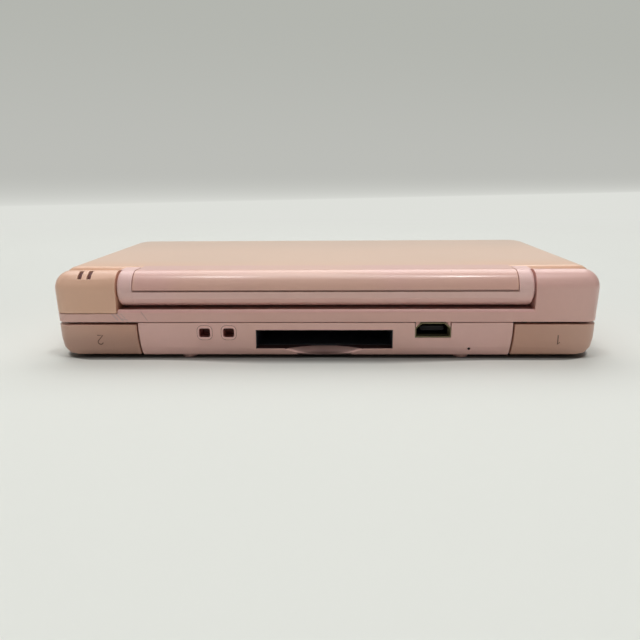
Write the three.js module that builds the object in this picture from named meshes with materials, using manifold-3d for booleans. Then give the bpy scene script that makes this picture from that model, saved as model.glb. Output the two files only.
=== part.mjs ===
// Clamshell handheld game console, closed, in millimetres.
// +X is the player's right, +Y runs to the hinge at the back, +Z is up. The origin lies under the
// centre of the console, on the surface that its feet stand on.
import * as THREE from "three";
import { mergeVertices } from "three/addons/utils/BufferGeometryUtils.js";
import Module from "manifold-3d";

const wasm = await Module();
wasm.setup();

// Overall outline: the lower screen sets it, with the controls beside it and a strip before and
// behind it. Then the vertical stack, from the feet up.
const touchWidth = 62;
const touchHeight = 46.6;
const controlWidth = 35.5;
const frontStrip = 11.15;
const hingeStrip = 16.15;
const consoleWidth = touchWidth + 2 * controlWidth;
const consoleDepth = touchHeight + frontStrip + hingeStrip;
const frontCornerRadius = 5.5;
const backCornerRadius = 4;
const leastCornerShare = 0.4;
const footHeight = 0.9;
const lowerShellHeight = 8.15;
const upperShellHeight = 3.45;
const closingGap = 1;
const lidShellHeight = 4;
const lidCoverHeight = 4;

// Walls, running gaps and the resolution of round shapes
const sideWall = 1.4;
const floorWall = 1.2;
const deckWall = 1.3;
const deckEdgeRadius = 1.1;
const lidWall = 1.3;
const seamGap = 0.12;
const shellSeam = 0.2;
const fitGap = 0.2;
const looseGap = 0.4;
const overrun = 2;
const cornerSteps = 5;
const edgeSteps = 3;
const smallRound = 12;
const midRound = 20;
const largeRound = 32;

const right = consoleWidth / 2;
const back = consoleDepth / 2;
const front = -back;
const shellFloor = footHeight;
const floorTop = shellFloor + floorWall;
const baseSeam = shellFloor + lowerShellHeight;
const deckTop = baseSeam + upperShellHeight;
const deckUnder = deckTop - deckWall;
const lidBottom = deckTop + closingGap;
const lidFloorTop = lidBottom + lidWall;
const lidSeam = lidBottom + lidShellHeight;
const upperShellBottom = baseSeam + shellSeam;
const lidTop = lidSeam + lidCoverHeight;
const lidCeiling = lidTop - lidWall;

// Hinge line: the barrel touches the lid's top plane and the console's back plane
const barrelRadius = 4.4;
const barrelWall = 1.3;
const barrelEndRadius = 0.8;
const knuckleLength = 15.95;
const knuckleGap = 0.35;
const hingeY = back - barrelRadius;
const hingeZ = lidTop - barrelRadius;
const barrelBore = barrelRadius - barrelWall;
const knuckleInner = right - knuckleLength;
const barrelHalfLength = knuckleInner - knuckleGap;
const lidBackGap = 0.55;
const lidBack = hingeY - barrelRadius - lidBackGap;

// Stack of parts under the deck, hung from the deck's underside
const lowerPanelThickness = 1.5;
const touchThickness = 0.8;
const boardThickness = 0.8;
const lowerPanelTop = deckUnder - fitGap;
const lowerPanelBottom = lowerPanelTop - lowerPanelThickness;
const touchBottom = lowerPanelTop + seamGap;
const boardTop = lowerPanelBottom - fitGap;
const boardBottom = boardTop - boardThickness;

// Finishes, one for each kind of part
const finish = (color, roughness, metalness = 0) =>
  new THREE.MeshStandardMaterial({ color, roughness, metalness });
const pinkPlastic = finish(0xe3b3ab, 0.45);
const peachGloss = finish(0xe8bfa8, 0.12);
const peachPlastic = finish(0xe0ae92, 0.4);
const tanPlastic = finish(0xc99a86, 0.5);
const blackPlastic = finish(0x1a1a1c, 0.5);
const darkGlass = finish(0x0c0d10, 0.08);
const greenBoard = finish(0x1f5a3c, 0.6);
const tinnedSteel = finish(0xb9bcc0, 0.35, 1);
const greyRubber = finish(0x9a9590, 0.8);
const amberResin = finish(0x6a3a33, 0.25);
const batteryWrap = finish(0x5d6470, 0.5);
const goldFlex = finish(0xb8722c, 0.5);

// Turns a closed geometry into a manifold solid.
function solidFrom(geometry) {
  const bare = geometry.index ? geometry.toNonIndexed() : geometry.clone();
  bare.deleteAttribute("normal");
  bare.deleteAttribute("uv");
  const merged = mergeVertices(bare, 1e-4);
  return new wasm.Manifold(
    new wasm.Mesh({
      numProp: 3,
      vertProperties: new Float32Array(merged.attributes.position.array),
      triVerts: new Uint32Array(merged.index.array),
    }),
  );
}

const grown = ([low, high], by) => [low - by, high + by];
const around = (centre, size) => [centre - size / 2, centre + size / 2];
const middle = ([low, high]) => (low + high) / 2;
const mirrored = ([low, high]) => [-high, -low];

// A box from its spans along X, Y and Z.
function block(x, y, z) {
  const geometry = new THREE.BoxGeometry(x[1] - x[0], y[1] - y[0], z[1] - z[0]);
  geometry.translate(middle(x), middle(y), middle(z));
  return solidFrom(geometry);
}

// Turns a shape that was built along Z to another axis.
function turnedTo(axis, geometry) {
  const turn = new THREE.Matrix4();
  if (axis === "x") turn.set(0, 0, 1, 0, 1, 0, 0, 0, 0, 1, 0, 0, 0, 0, 0, 1);
  if (axis === "y") turn.set(0, 1, 0, 0, 0, 0, 1, 0, 1, 0, 0, 0, 0, 0, 0, 1);
  return solidFrom(geometry.applyMatrix4(turn));
}

// Extrudes an outline along an axis. Its points are (x, y), (y, z) or (x, z) in the row frame.
function prism(axis, points, [low, high]) {
  const flat = axis === "y" ? points.map(([x, z]) => [z, x]) : points;
  const shape = new THREE.Shape(flat.map(([u, v]) => new THREE.Vector2(u, v)));
  const geometry = new THREE.ExtrudeGeometry(shape, { depth: high - low, bevelEnabled: false });
  geometry.translate(0, 0, low);
  return turnedTo(axis, geometry);
}

// Points on an arc about (u, v), from one angle to another in degrees.
function arc(u, v, radius, from, to, steps) {
  return Array.from({ length: steps + 1 }, (_, i) => {
    const angle = THREE.MathUtils.degToRad(from + ((to - from) * i) / steps);
    return [u + radius * Math.cos(angle), v + radius * Math.sin(angle)];
  });
}

// A round bar along an axis through (u, v), with a corner of its facets on each main direction.
function bar(axis, [u, v], radius, span, sides) {
  return prism(axis, arc(u, v, radius, 0, 360, sides).slice(0, -1), span);
}

// A rectangle with rounded corners, as counterclockwise points.
function roundedRectangle(u, v, radius, steps) {
  const r = Math.min(radius, (u[1] - u[0]) / 2, (v[1] - v[0]) / 2);
  return [
    ...arc(u[1] - r, v[1] - r, r, 0, 90, steps),
    ...arc(u[0] + r, v[1] - r, r, 90, 180, steps),
    ...arc(u[0] + r, v[0] + r, r, 180, 270, steps),
    ...arc(u[1] - r, v[0] + r, r, 270, 360, steps),
  ];
}

// Joins outlines of equal point counts at rising places along an axis into one closed skin.
function loft(sections, axis = "z") {
  const count = sections[0].outline.length;
  const positions = sections.flatMap(({ at, outline }) => outline.flatMap(([u, v]) => [u, v, at]));
  const index = [];
  for (let level = 0; level + 1 < sections.length; level++)
    for (let i = 0; i < count; i++) {
      const a = level * count + i;
      const b = level * count + ((i + 1) % count);
      index.push(a, b, b + count, a, b + count, a + count);
    }
  const last = (sections.length - 1) * count;
  for (let i = 1; i + 1 < count; i++) index.push(0, i + 1, i, last, last + i, last + i + 1);
  const geometry = new THREE.BufferGeometry();
  geometry.setAttribute("position", new THREE.Float32BufferAttribute(positions, 3));
  geometry.setIndex(index);
  return turnedTo(axis, geometry);
}

// Inset and rise along a quarter-round edge, from its flat end to its upright end.
function edgeRound(radius, steps = edgeSteps) {
  return Array.from({ length: steps + 1 }, (_, i) => {
    const angle = ((Math.PI / 2) * i) / steps;
    return { inset: radius * (1 - Math.sin(angle)), rise: radius * (1 - Math.cos(angle)) };
  });
}

// Plan outline of the case, drawn in from its widest line by an inset on the sides and the ends.
function casePlan(side, ends, frontRadius, backRadius, backEdge) {
  const x = right - side;
  const low = front + ends;
  const high = backEdge - ends;
  const nose = Math.max(frontRadius - side, leastCornerShare * frontRadius);
  const tail = Math.max(backRadius - side, leastCornerShare * backRadius);
  return [
    ...arc(x - tail, high - tail, tail, 0, 90, cornerSteps),
    ...arc(tail - x, high - tail, tail, 90, 180, cornerSteps),
    ...arc(nose - x, low + nose, nose, 180, 270, cornerSteps),
    ...arc(x - nose, low + nose, nose, 270, 360, cornerSteps),
  ];
}

const group = new THREE.Group();

function add(name, solid, material) {
  const mesh = solid.getMesh();
  const geometry = new THREE.BufferGeometry();
  geometry.setAttribute("position", new THREE.BufferAttribute(mesh.vertProperties, 3));
  geometry.setIndex(new THREE.BufferAttribute(mesh.triVerts, 1));
  const part = new THREE.Mesh(geometry, material);
  part.name = name;
  group.add(part);
}

const union = (solids) => solids.reduce((sum, solid) => sum.add(solid));
const carve = (solid, cuts) => cuts.reduce((left, cut) => left.subtract(cut), solid);
const everyX = [-consoleWidth, consoleWidth];
const everyY = [-consoleDepth, consoleDepth];
const above = (z) => [z, z + consoleDepth];
const below = (z) => [z - consoleDepth, z];

// Base form: drafted sides that lean in towards the floor, with a rounded bottom edge
const sideDraft = 1.1;
const endDraft = 0.35;
const bottomEdgeRise = 3.9;
const bottomEdgeSide = 3.5;
const bottomEdgeEnd = 0.7;

function baseForm(inset) {
  const rise = hingeZ - shellFloor;
  const leaning = (z) => Math.max(0, (hingeZ - z) / rise);
  const section = (z, edgeShare) => ({
    at: z,
    outline: casePlan(
      inset + bottomEdgeSide * edgeShare + sideDraft * leaning(z),
      inset + bottomEdgeEnd * edgeShare + endDraft * leaning(z),
      frontCornerRadius,
      backCornerRadius,
      back,
    ),
  });
  return loft([
    ...edgeRound(1).map((share) => section(shellFloor + bottomEdgeRise * share.rise, share.inset)),
    section(hingeZ, 0),
    section(lidTop + overrun, 0),
  ]);
}
const baseOuter = baseForm(0);
const baseInner = baseForm(sideWall);
const sliceZ = (solid, z) => solid.intersect(block(everyX, everyY, z));

// Shoulder buttons: corner covers on a pin near their inner end
const shoulderLength = 21;
const shoulderSeamRun = 0.9;
const shoulderSideStart = 23;
const shoulderSeam = 0.45;
const shoulderSideGap = 0.95;
const shoulderLipGap = 0.85;
const shoulderLip = 2.5;
const shoulderWall = 1.5;
const shoulderLipThickness = 1.2;
const shoulderBottomHeight = 0.05;
const shoulderPinRadius = 0.75;
const shoulderPinInset = 3.6;
const shoulderPinDepth = 4.3;
const shoulderEyeWall = 1;
const shoulderInner = right - shoulderLength;

// Card slot at the back, with a finger scoop in its lower lip
const cardSlotHalfWidth = 16.7;
const cardSlotBottom = 2.5;
const cardSlotHeight = 4.75;
const cardSlotDepth = 33;
const scoopWidth = 21;
const scoopDepth = 4;
const scoopFootDepth = 1.1;
const cageWall = 0.7;
const cageRearBlock = 2.4;
const cardSlotTop = cardSlotBottom + cardSlotHeight;
const cardSlotEnd = back - cardSlotDepth;
const cardCageEnd = cardSlotEnd - cageRearBlock - cageWall;

// Stylus channel from the right side, between the two slots' cages
const stylusZ = 5;
const stylusRadius = 2.3;
const stylusLength = 87;
const stylusHoleGap = 0.3;
const stylusRailWall = 0.6;
const stylusRailHeight = 1.8;
const stylusRailLength = 58;
const stylusRoom = 1.7;
const stylusY = cardCageEnd - stylusRoom - stylusRadius;

// Cartridge slot at the front, closed by a pull-out dust cover
const cartridgeHalfWidth = 29;
const cartridgeHeight = 5.7;
const dustCoverDepth = 14;
const dustCoverWall = 1.2;
const cartridgeTop = floorTop + cartridgeHeight;
const cartridgeEnd = stylusY - stylusRadius - stylusRoom - cageWall - cageRearBlock;
const cartridgeCageTop = 0.5;

// Wrist strap eyes, charging socket and pin hole on the back
const strapHoleWidth = 2.6;
const strapHoleHeight = 2.5;
const strapHoleRadius = 0.7;
const strapRimWidth = 0.5;
const strapRimProud = 0.15;
const strapHoleInset = 5.7;
const strapHolePitch = 5.9;
const strapHoleZ = 6.6;
const strapTunnelDepth = 4.6;
const strapPost = 2.6;
const cageOuter = cardSlotHalfWidth + fitGap + cageWall;
const strapHoleX = [cageOuter + strapHoleInset, cageOuter + strapHoleInset + strapHolePitch];
const socketWidth = 8.75;
const socketInset = 8.8;
const socketX = -cageOuter - socketInset;
const socketBottom = 5.25;
const socketChamferWidth = 1.4;
const socketChamferHeight = 1.2;
const socketDepth = 8.4;
const socketWall = 0.35;
const tongueWidth = 4.6;
const tongueThickness = 0.8;
const tongueLength = 5.2;
const pinHoleShare = 0.3;
const pinHoleZ = 2.5;
const pinHoleRadius = 0.35;
const pinHoleX = THREE.MathUtils.lerp(socketX - socketWidth / 2, -shoulderInner, pinHoleShare);

// Power switch on the right side and volume slider on the front
const powerRoom = 8.7;
const powerY = stylusY - stylusRadius - powerRoom;
const powerZ = 6.6;
const powerKnobLength = 5.4;
const powerKnobHeight = 1.9;
const powerKnobProud = 0.7;
const powerTravel = 2.2;
const volumeInset = 22.5;
const volumeX = volumeInset - right;
const volumeZ = 6.6;
const volumeKnobLength = 4;
const volumeKnobHeight = 1.9;
const volumeKnobProud = 0.2;
const volumeTravel = 4;
const sliderFlange = 0.8;
const sliderFlangeOverlap = 0.9;
const grooveWidth = 0.4;

// Audio jack at the front
const jackInset = 22.9;
const jackX = right - jackInset;
const jackZ = 5.6;
const jackBoreRadius = 1.8;
const jackCollarRadius = 2.6;
const jackBodyWidth = 7.6;
const jackBodyLength = 11.5;
const headsetSlotWidth = 2.4;
const headsetSlotHeight = 3;
const headsetSlotOffset = 5.2;

// Battery bay in the floor, left of the card slot
const batterySideInset = 5.3;
const batteryInnerGap = 1.1;
const batteryFrontInset = 14.45;
const batteryBackInset = 21.95;
const batteryX = [batterySideInset - right, -cartridgeHalfWidth - fitGap - cageWall - batteryInnerGap];
const batteryY = [front + batteryFrontInset, back - batteryBackInset];
const batteryCoverReach = 0.9;
const batteryCoverTab = 6.4;
const batteryCoverRadius = 2.2;
const coverScrewInset = 3.4;
const coverScrewShareX = 0.5;

// Screws, bosses and feet
const screwShaftRadius = 0.9;
const screwHeadRadius = 1.6;
const screwHeadHeight = 0.9;
const bossRadius = 2.5;
const baseScrewHeadDepth = 0.35;
const frontScrewInset = 6.9;
const frontScrewDepth = 5.95;
const backScrewRoom = 4.9;
const backScrewDepth = 7.75;
const footRadius = 1.8;
const footSideInset = 32.8;
const footInset = 3.4;
const footSeatDepth = 0.3;
const frontScrewX = right - frontScrewInset;
const frontScrewY = front + frontScrewDepth;
const backScrewX = strapHoleX[1] + backScrewRoom + bossRadius;
const backScrewY = back - backScrewDepth;
const footX = right - footSideInset;

// A screw point is where its shaft runs, in plan
const baseScrews = [
  ["base_screw_front_left", [-frontScrewX, frontScrewY]],
  ["base_screw_front_right", [frontScrewX, frontScrewY]],
  ["base_screw_back_left", [-backScrewX, backScrewY]],
  ["base_screw_back_right", [backScrewX, backScrewY]],
];
const feet = [
  ["foot_front_left", [-footX, front + footInset]],
  ["foot_front_right", [footX, front + footInset]],
  ["foot_back_left", [-footX, back - footInset]],
  ["foot_back_right", [footX, back - footInset]],
];
const headSeat = shellFloor + baseScrewHeadDepth + screwHeadHeight;

// The corner of the base that a shoulder button takes, between its seams and inside the skin. Its
// inner seam sweeps inwards near the floor. side is 1 on the player's right and -1 on the left.
function shoulderZone(side, gap, sideGap, depth) {
  const inner = shoulderInner + gap;
  const steps = 2 * edgeSteps;
  const seam = Array.from({ length: steps + 1 }, (_, i) => {
    const share = i / steps;
    return [side * (inner - shoulderSeamRun * (1 - share) ** 2), share * baseSeam];
  });
  const outline = [
    ...seam,
    [side * inner, baseSeam + overrun],
    [side * consoleWidth, baseSeam + overrun],
    [side * consoleWidth, 0],
  ];
  return prism("y", outline, [shoulderSideStart + sideGap, consoleDepth]).subtract(baseForm(depth));
}

const shoulderPinAt = (side) => [
  side * (shoulderInner + shoulderPinInset),
  back - shoulderPinDepth,
];

// Lower shell: the tray that holds the slots, the battery bay and the stylus
const batteryCoverX = grown(batteryX, batteryCoverReach);
const batteryCoverY = [batteryY[0] - batteryCoverReach, batteryY[1] + batteryCoverTab];
const coverScrewAt = [
  THREE.MathUtils.lerp(batteryX[0], batteryX[1], coverScrewShareX),
  batteryCoverY[1] - coverScrewInset,
];
const socketX2 = around(socketX, socketWidth);
const powerSlot = [
  powerY - powerKnobLength / 2 - fitGap,
  powerY + powerKnobLength / 2 + powerTravel + fitGap,
];
const volumeSlot = around(volumeX, volumeKnobLength + 2 * volumeTravel + 2 * fitGap);
const strapBlockX = [
  strapHoleX[0] - strapHoleWidth / 2 - cageWall,
  strapHoleX[1] + strapHoleWidth / 2 + cageWall,
];

const skinShare = (z) => (hingeZ - z) / (hingeZ - shellFloor);

// A rounded square about a strap hole, larger than it all round by a margin.
function strapPlug(x, margin, y) {
  const outline = roundedRectangle(
    grown(around(x, strapHoleWidth), margin),
    grown(around(strapHoleZ, strapHoleHeight), margin),
    strapHoleRadius + margin,
    edgeSteps,
  );
  return prism("y", outline, y);
}

// The scoop is a round dish whose floor slopes: it reaches furthest in at the slot.
function fingerScoop() {
  const radius = (scoopWidth ** 2 / 4 + scoopDepth ** 2) / (2 * scoopDepth);
  const slope = (scoopDepth - scoopFootDepth) / (cardSlotBottom - shellFloor);
  const section = (z) => {
    const reach = scoopDepth - slope * (cardSlotBottom - z);
    return { at: z, outline: arc(0, back + radius - reach, radius, 0, 360, largeRound).slice(0, -1) };
  };
  return loft([section(shellFloor - overrun), section(cardSlotBottom + seamGap)]);
}

function lowerShell() {
  const tray = sliceZ(baseOuter, [shellFloor, baseSeam]).subtract(sliceZ(baseInner, above(floorTop)));
  const boss = ([x, y]) =>
    bar("z", [x, y], bossRadius, [floorTop - seamGap, boardBottom - fitGap], smallRound);
  const strapBlock = block(
    strapBlockX,
    [back - strapTunnelDepth - cageWall, back - sideWall / 2],
    [floorTop - seamGap, boardBottom - fitGap],
  );
  const strapRims = strapHoleX.map((x) =>
    strapPlug(x, strapRimWidth, [
      back - sideWall,
      back - endDraft * skinShare(strapHoleZ) + strapRimProud,
    ]),
  );
  const slotSill = block(
    around(0, 2 * cardSlotHalfWidth),
    [back - scoopDepth - 2 * sideWall, back - sideWall / 2],
    [floorTop - seamGap, cardSlotBottom],
  );
  const railY = stylusRadius + looseGap;
  const rails = [-railY - stylusRailWall, railY].map((y) =>
    block(
      [right - sideWall - stylusRailLength, right - sideWall],
      [stylusY + y, stylusY + y + stylusRailWall],
      [floorTop - seamGap, floorTop + stylusRailHeight],
    ),
  );
  const coverBoss = block(
    around(coverScrewAt[0], 2 * bossRadius),
    [coverScrewAt[1] - bossRadius, batteryCoverY[1] + bossRadius],
    [floorTop + fitGap, boardBottom - looseGap],
  );
  const coverBossRoot = block(
    around(coverScrewAt[0], 2 * bossRadius),
    [batteryCoverY[1] + fitGap, batteryCoverY[1] + bossRadius],
    [shellFloor + seamGap, floorTop + looseGap],
  );
  const solids = [
    tray,
    strapBlock,
    ...strapRims,
    slotSill,
    ...rails,
    coverBoss,
    coverBossRoot,
    ...baseScrews.map(([, at]) => boss(at)),
  ];
  return carve(union(solids), [...lowerShellCuts(), ...shoulderCuts()]);
}

function shoulderCuts() {
  return [1, -1].map((side) => shoulderZone(side, 0, 0, shoulderLip + shoulderLipGap));
}

function lowerShellCuts() {
  const throughBack = [back - strapTunnelDepth, back + overrun];
  const strapHoles = strapHoleX.map((x) => strapPlug(x, 0, throughBack));
  const strapTunnel = block(
    [strapHoleX[0] - strapHoleWidth / 2, strapHoleX[1] + strapHoleWidth / 2],
    [back - strapTunnelDepth, back - strapPost],
    around(strapHoleZ, strapHoleHeight),
  );
  return [
    ...strapHoles,
    strapTunnel,
    block(
      around(0, 2 * cardSlotHalfWidth),
      [back - 2 * sideWall, back + overrun],
      [cardSlotBottom, cardSlotTop],
    ),
    fingerScoop(),
    block(socketX2, [back - 2 * sideWall, back + overrun], [socketBottom, baseSeam + overrun]),
    bar("y", [pinHoleX, pinHoleZ], pinHoleRadius, [back - 2 * sideWall, back + overrun], smallRound),
    block(
      around(0, 2 * cartridgeHalfWidth),
      [front - overrun, front + 2 * sideWall],
      [floorTop, cartridgeTop],
    ),
    block(
      volumeSlot,
      [front - overrun, front + 2 * sideWall],
      around(volumeZ, volumeKnobHeight + 2 * fitGap),
    ),
    bar(
      "y",
      [jackX, jackZ],
      jackCollarRadius + fitGap,
      [front - overrun, front + 2 * sideWall],
      midRound,
    ),
    block(
      around(jackX + headsetSlotOffset, headsetSlotWidth),
      [front - overrun, front + 2 * sideWall],
      around(jackZ, headsetSlotHeight),
    ),
    bar(
      "x",
      [stylusY, stylusZ],
      stylusRadius + stylusHoleGap,
      [right - 2 * sideWall - sideDraft, right + overrun],
      midRound,
    ),
    block(
      [right - 2 * sideWall - sideDraft, right + overrun],
      powerSlot,
      around(powerZ, powerKnobHeight + 2 * fitGap),
    ),
    prism(
      "z",
      roundedRectangle(
        grown(batteryCoverX, fitGap),
        grown(batteryCoverY, fitGap),
        batteryCoverRadius,
        edgeSteps,
      ),
      [0, floorTop + seamGap],
    ),
    bar("z", coverScrewAt, screwShaftRadius + fitGap, [0, boardBottom], smallRound),
    ...baseScrews.flatMap(([, at]) => [
      bar("z", at, screwShaftRadius + fitGap, [0, baseSeam], smallRound),
      bar("z", at, screwHeadRadius + fitGap, [0, headSeat + seamGap], smallRound),
    ]),
    ...feet.map(([, at]) =>
      bar("z", at, footRadius + seamGap, [0, shellFloor + footSeatDepth], midRound),
    ),
  ];
}

// Controls on the deck
const controlRise = 5.5;
const controlX = (touchWidth / 2 + right) / 2;
const lowerScreenY = front + frontStrip + touchHeight / 2;
const dpadAt = [-controlX, lowerScreenY + controlRise];
const dpadReach = 9.8;
const dpadArmWidth = 6.4;
const dpadGap = 0.45;
const dpadFlangeRadius = 8.6;
const dpadFlangeThickness = 0.45;
const dpadLift = 0.75;
const dpadProud = 0.5;
const dpadPivotRadius = 2;
const faceCentre = [controlX, lowerScreenY + controlRise];
const faceSpread = 6.5;
const faceRadius = 3.6;
const faceFlange = 0.7;
const menuRadius = 2.3;
const menuRoom = 5.1;
const menuPitch = 8;
const menuDepth = 10.45;
const panelMargin = 2.4;
const menuX = touchWidth / 2 + panelMargin + menuRoom + faceFlange + menuRadius;
const menuY = [front + menuDepth + menuPitch, front + menuDepth];
const buttonProud = 0.6;
const buttonGap = 0.25;
const buttonFlangeThickness = 0.7;
const buttonTravel = 0.5;
const matThickness = 0.3;
const matMargin = 3.4;
const faceButtons = [
  ["face_button_right", [faceCentre[0] + faceSpread, faceCentre[1]]],
  ["face_button_upper", [faceCentre[0], faceCentre[1] + faceSpread]],
  ["face_button_left", [faceCentre[0] - faceSpread, faceCentre[1]]],
  ["face_button_lower", [faceCentre[0], faceCentre[1] - faceSpread]],
];
const menuButtons = [
  ["start_button", [menuX, menuY[0]]],
  ["select_button", [menuX, menuY[1]]],
];

// Displays
const windowBorder = 2.4;
const upperWindowWidth = touchWidth + 2 * windowBorder;
const upperWindowHeight = touchHeight + 2 * windowBorder;
const upperScreenY = (front + lidBack) / 2;
const windowThickness = 0.9;
const windowRecess = 0.3;
const upperPanelThickness = 2.1;
const windowCornerRadius = 0.8;

const touchX = around(0, touchWidth);
const touchY = around(lowerScreenY, touchHeight);
const windowX = around(0, upperWindowWidth);
const windowY = around(upperScreenY, upperWindowHeight);

// Knuckles: the two end housings of the hinge, rounded over the top and at their outer end
const knuckleWall = 1.3;
const endCoverBottomDrop = 1.05;
const endCoverBottom = deckTop - endCoverBottomDrop;
const endCoverSill = 0.15;
const hingePinRadius = 1.6;
const hingePinReach = 5.2;
const hingeCoreGap = 1.2;
const hollowPinRadius = 2.4;
const hollowPinWall = 0.7;
const hollowPinReach = 5;

// side is 1 on the player's right and -1 on the left.
function knuckleForm(side, inset, bottom) {
  const crown = barrelRadius - inset;
  const outline = (by) => [
    [hingeY - crown + by, bottom],
    [hingeY + crown - by, bottom],
    ...arc(hingeY, hingeZ, crown - by, 0, 180, midRound / 2),
  ];
  const end = edgeRound(backCornerRadius - inset, cornerSteps).reverse();
  const sections = [
    { at: knuckleInner + inset, outline: outline(0) },
    ...end.map((step) => ({ at: right - inset - step.rise, outline: outline(step.inset) })),
  ];
  const sided = sections.map(({ at, outline }) => ({ at: side * at, outline }));
  return loft(side > 0 ? sided : sided.reverse(), "x").intersect(baseForm(inset));
}

function cross(reach, width) {
  const half = width / 2;
  return [
    [reach, -half],
    [reach, half],
    [half, half],
    [half, reach],
    [-half, reach],
    [-half, half],
    [-reach, half],
    [-reach, -half],
    [-half, -half],
    [-half, -reach],
    [half, -reach],
    [half, -half],
  ].map(([x, y]) => [dpadAt[0] + x, dpadAt[1] + y]);
}

// LED windows in the right knuckle and the light guide behind them
const ledInset = 9.4;
const ledPitch = 2.3;
const ledX = [right - ledInset, right - ledInset + ledPitch];
const ledWidth = 1;
const ledStartAngle = 38;
const ledEndAngle = 82;
const ledMarginAngle = 0.8;
const ledRecess = 0.35;
const guideStemDepth = 1.6;
const guideDepth = 0.7;
const guideStemX = [ledX[0] - ledWidth / 2 + seamGap, ledX[1] + ledWidth / 2 - seamGap];
const guideStemY = around(hingeY, guideStemDepth);
const sillTop = endCoverBottom - endCoverSill;
const coreX = [knuckleInner + knuckleWall + fitGap, guideStemX[0] - hingeCoreGap];

// A slice of a ring about the hinge line, from one angle to another in degrees.
function ringSlice(inner, outer, from, to, x) {
  const steps = largeRound / 4;
  const points = [
    ...arc(hingeY, hingeZ, outer, from, to, steps),
    ...arc(hingeY, hingeZ, inner, to, from, steps),
  ];
  return prism("x", points, x);
}

const deckCutZ = [baseSeam + sideWall, deckTop + overrun];

function upperShell() {
  const topEdge = edgeRound(deckEdgeRadius);
  const inset = (step) => [
    step.inset + sideDraft * skinShare(deckTop),
    step.inset + endDraft * skinShare(deckTop),
  ];
  const cap = loft([
    { at: 0, outline: casePlan(0, 0, frontCornerRadius, backCornerRadius, back) },
    ...topEdge
      .slice()
      .reverse()
      .map((step) => ({
        at: deckTop - step.rise,
        outline: casePlan(...inset(step), frontCornerRadius, backCornerRadius, back),
      })),
  ]);
  const deck = sliceZ(baseOuter, [upperShellBottom, deckTop])
    .intersect(cap)
    .subtract(sliceZ(baseInner, below(deckUnder)));
  const shellTop = [upperShellBottom, deckTop];
  const leftKnuckle = knuckleForm(-1, 0, boardTop + looseGap);
  const coverZone = block(
    [knuckleInner - fitGap, consoleWidth],
    [hingeY - barrelRadius - fitGap, consoleDepth],
    above(sillTop),
  );
  const sill = block(
    [knuckleInner - 2 * sideWall, consoleWidth],
    [hingeY - barrelRadius - 2 * sideWall, consoleDepth],
    [sillTop - deckWall, sillTop],
  ).intersect(sliceZ(baseOuter, shellTop));
  const coreRadius = barrelRadius - knuckleWall - looseGap;
  const core = union([
    bar("x", [hingeY, hingeZ], coreRadius, coreX, midRound),
    block(coreX, around(hingeY, 2 * coreRadius - looseGap), [sillTop - deckWall, hingeZ]),
  ]);
  const chamferFillers = [1, -1].map((side) => {
    const edge = socketX + side * (socketWidth / 2 - fitGap);
    const points = [
      [edge, upperShellBottom + fitGap],
      [edge, baseSeam - socketChamferHeight],
      [edge - side * socketChamferWidth, upperShellBottom + fitGap],
    ];
    return prism("y", points, [back - sideWall, back - endDraft]);
  });
  const bosses = baseScrews.map(([, at]) =>
    bar("z", at, bossRadius - fitGap, [boardTop + fitGap, deckUnder + seamGap], smallRound),
  );
  const trough = block(
    [-knuckleInner, knuckleInner],
    [lidBack, back - sideWall / 2],
    above(deckTop - looseGap),
  );
  const leftHollow = knuckleForm(-1, knuckleWall, baseSeam);
  const pinHole = (side, radius) =>
    bar(
      "x",
      [hingeY, hingeZ],
      radius,
      side > 0
        ? [knuckleInner - overrun, coreX[1] + overrun]
        : [2 * knuckleWall - right, overrun - knuckleInner],
      midRound,
    );
  const cuts = [
    trough,
    block(grown(touchX, fitGap), grown(touchY, fitGap), deckCutZ),
    prism("z", cross(dpadReach + dpadGap, dpadArmWidth + 2 * dpadGap), deckCutZ),
    ...faceButtons.map(([, at]) => bar("z", at, faceRadius + buttonGap, deckCutZ, midRound)),
    ...menuButtons.map(([, at]) => bar("z", at, menuRadius + buttonGap, deckCutZ, midRound)),
    ...baseScrews.map(([, at]) =>
      bar("z", at, screwShaftRadius + fitGap, [0, deckUnder - seamGap], smallRound),
    ),
    leftHollow,
    pinHole(-1, hollowPinRadius + fitGap),
    pinHole(1, hingePinRadius + fitGap),
    block(grown(guideStemX, fitGap), grown(guideStemY, fitGap), [0, sillTop + overrun]),
    block(
      grown(socketX2, -socketChamferWidth),
      [back - 2 * sideWall, back + overrun],
      [0, upperShellBottom],
    ),
  ];
  const outerDeck = deck.subtract(coverZone);
  const shell = union([outerDeck, sill, core, ...chamferFillers, ...bosses, leftKnuckle]);
  return carve(shell, cuts);
}

add("base_lower_shell", lowerShell(), pinkPlastic);
add("base_upper_shell", upperShell(), pinkPlastic);

function hingeEndCover() {
  const skin = sliceZ(knuckleForm(1, 0, baseSeam), above(endCoverBottom)).subtract(
    knuckleForm(1, knuckleWall, baseSeam),
  );
  const slits = ledX.map((x) =>
    ringSlice(
      barrelRadius - 2 * knuckleWall,
      barrelRadius + overrun,
      ledStartAngle,
      ledEndAngle,
      around(x, ledWidth),
    ),
  );
  const pinEye = bar(
    "x",
    [hingeY, hingeZ],
    hingePinRadius + fitGap,
    [knuckleInner - overrun, knuckleInner + knuckleWall + overrun],
    midRound,
  );
  return carve(skin, [...slits, pinEye]);
}
add("hinge_end_cover", hingeEndCover(), peachPlastic);

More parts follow.
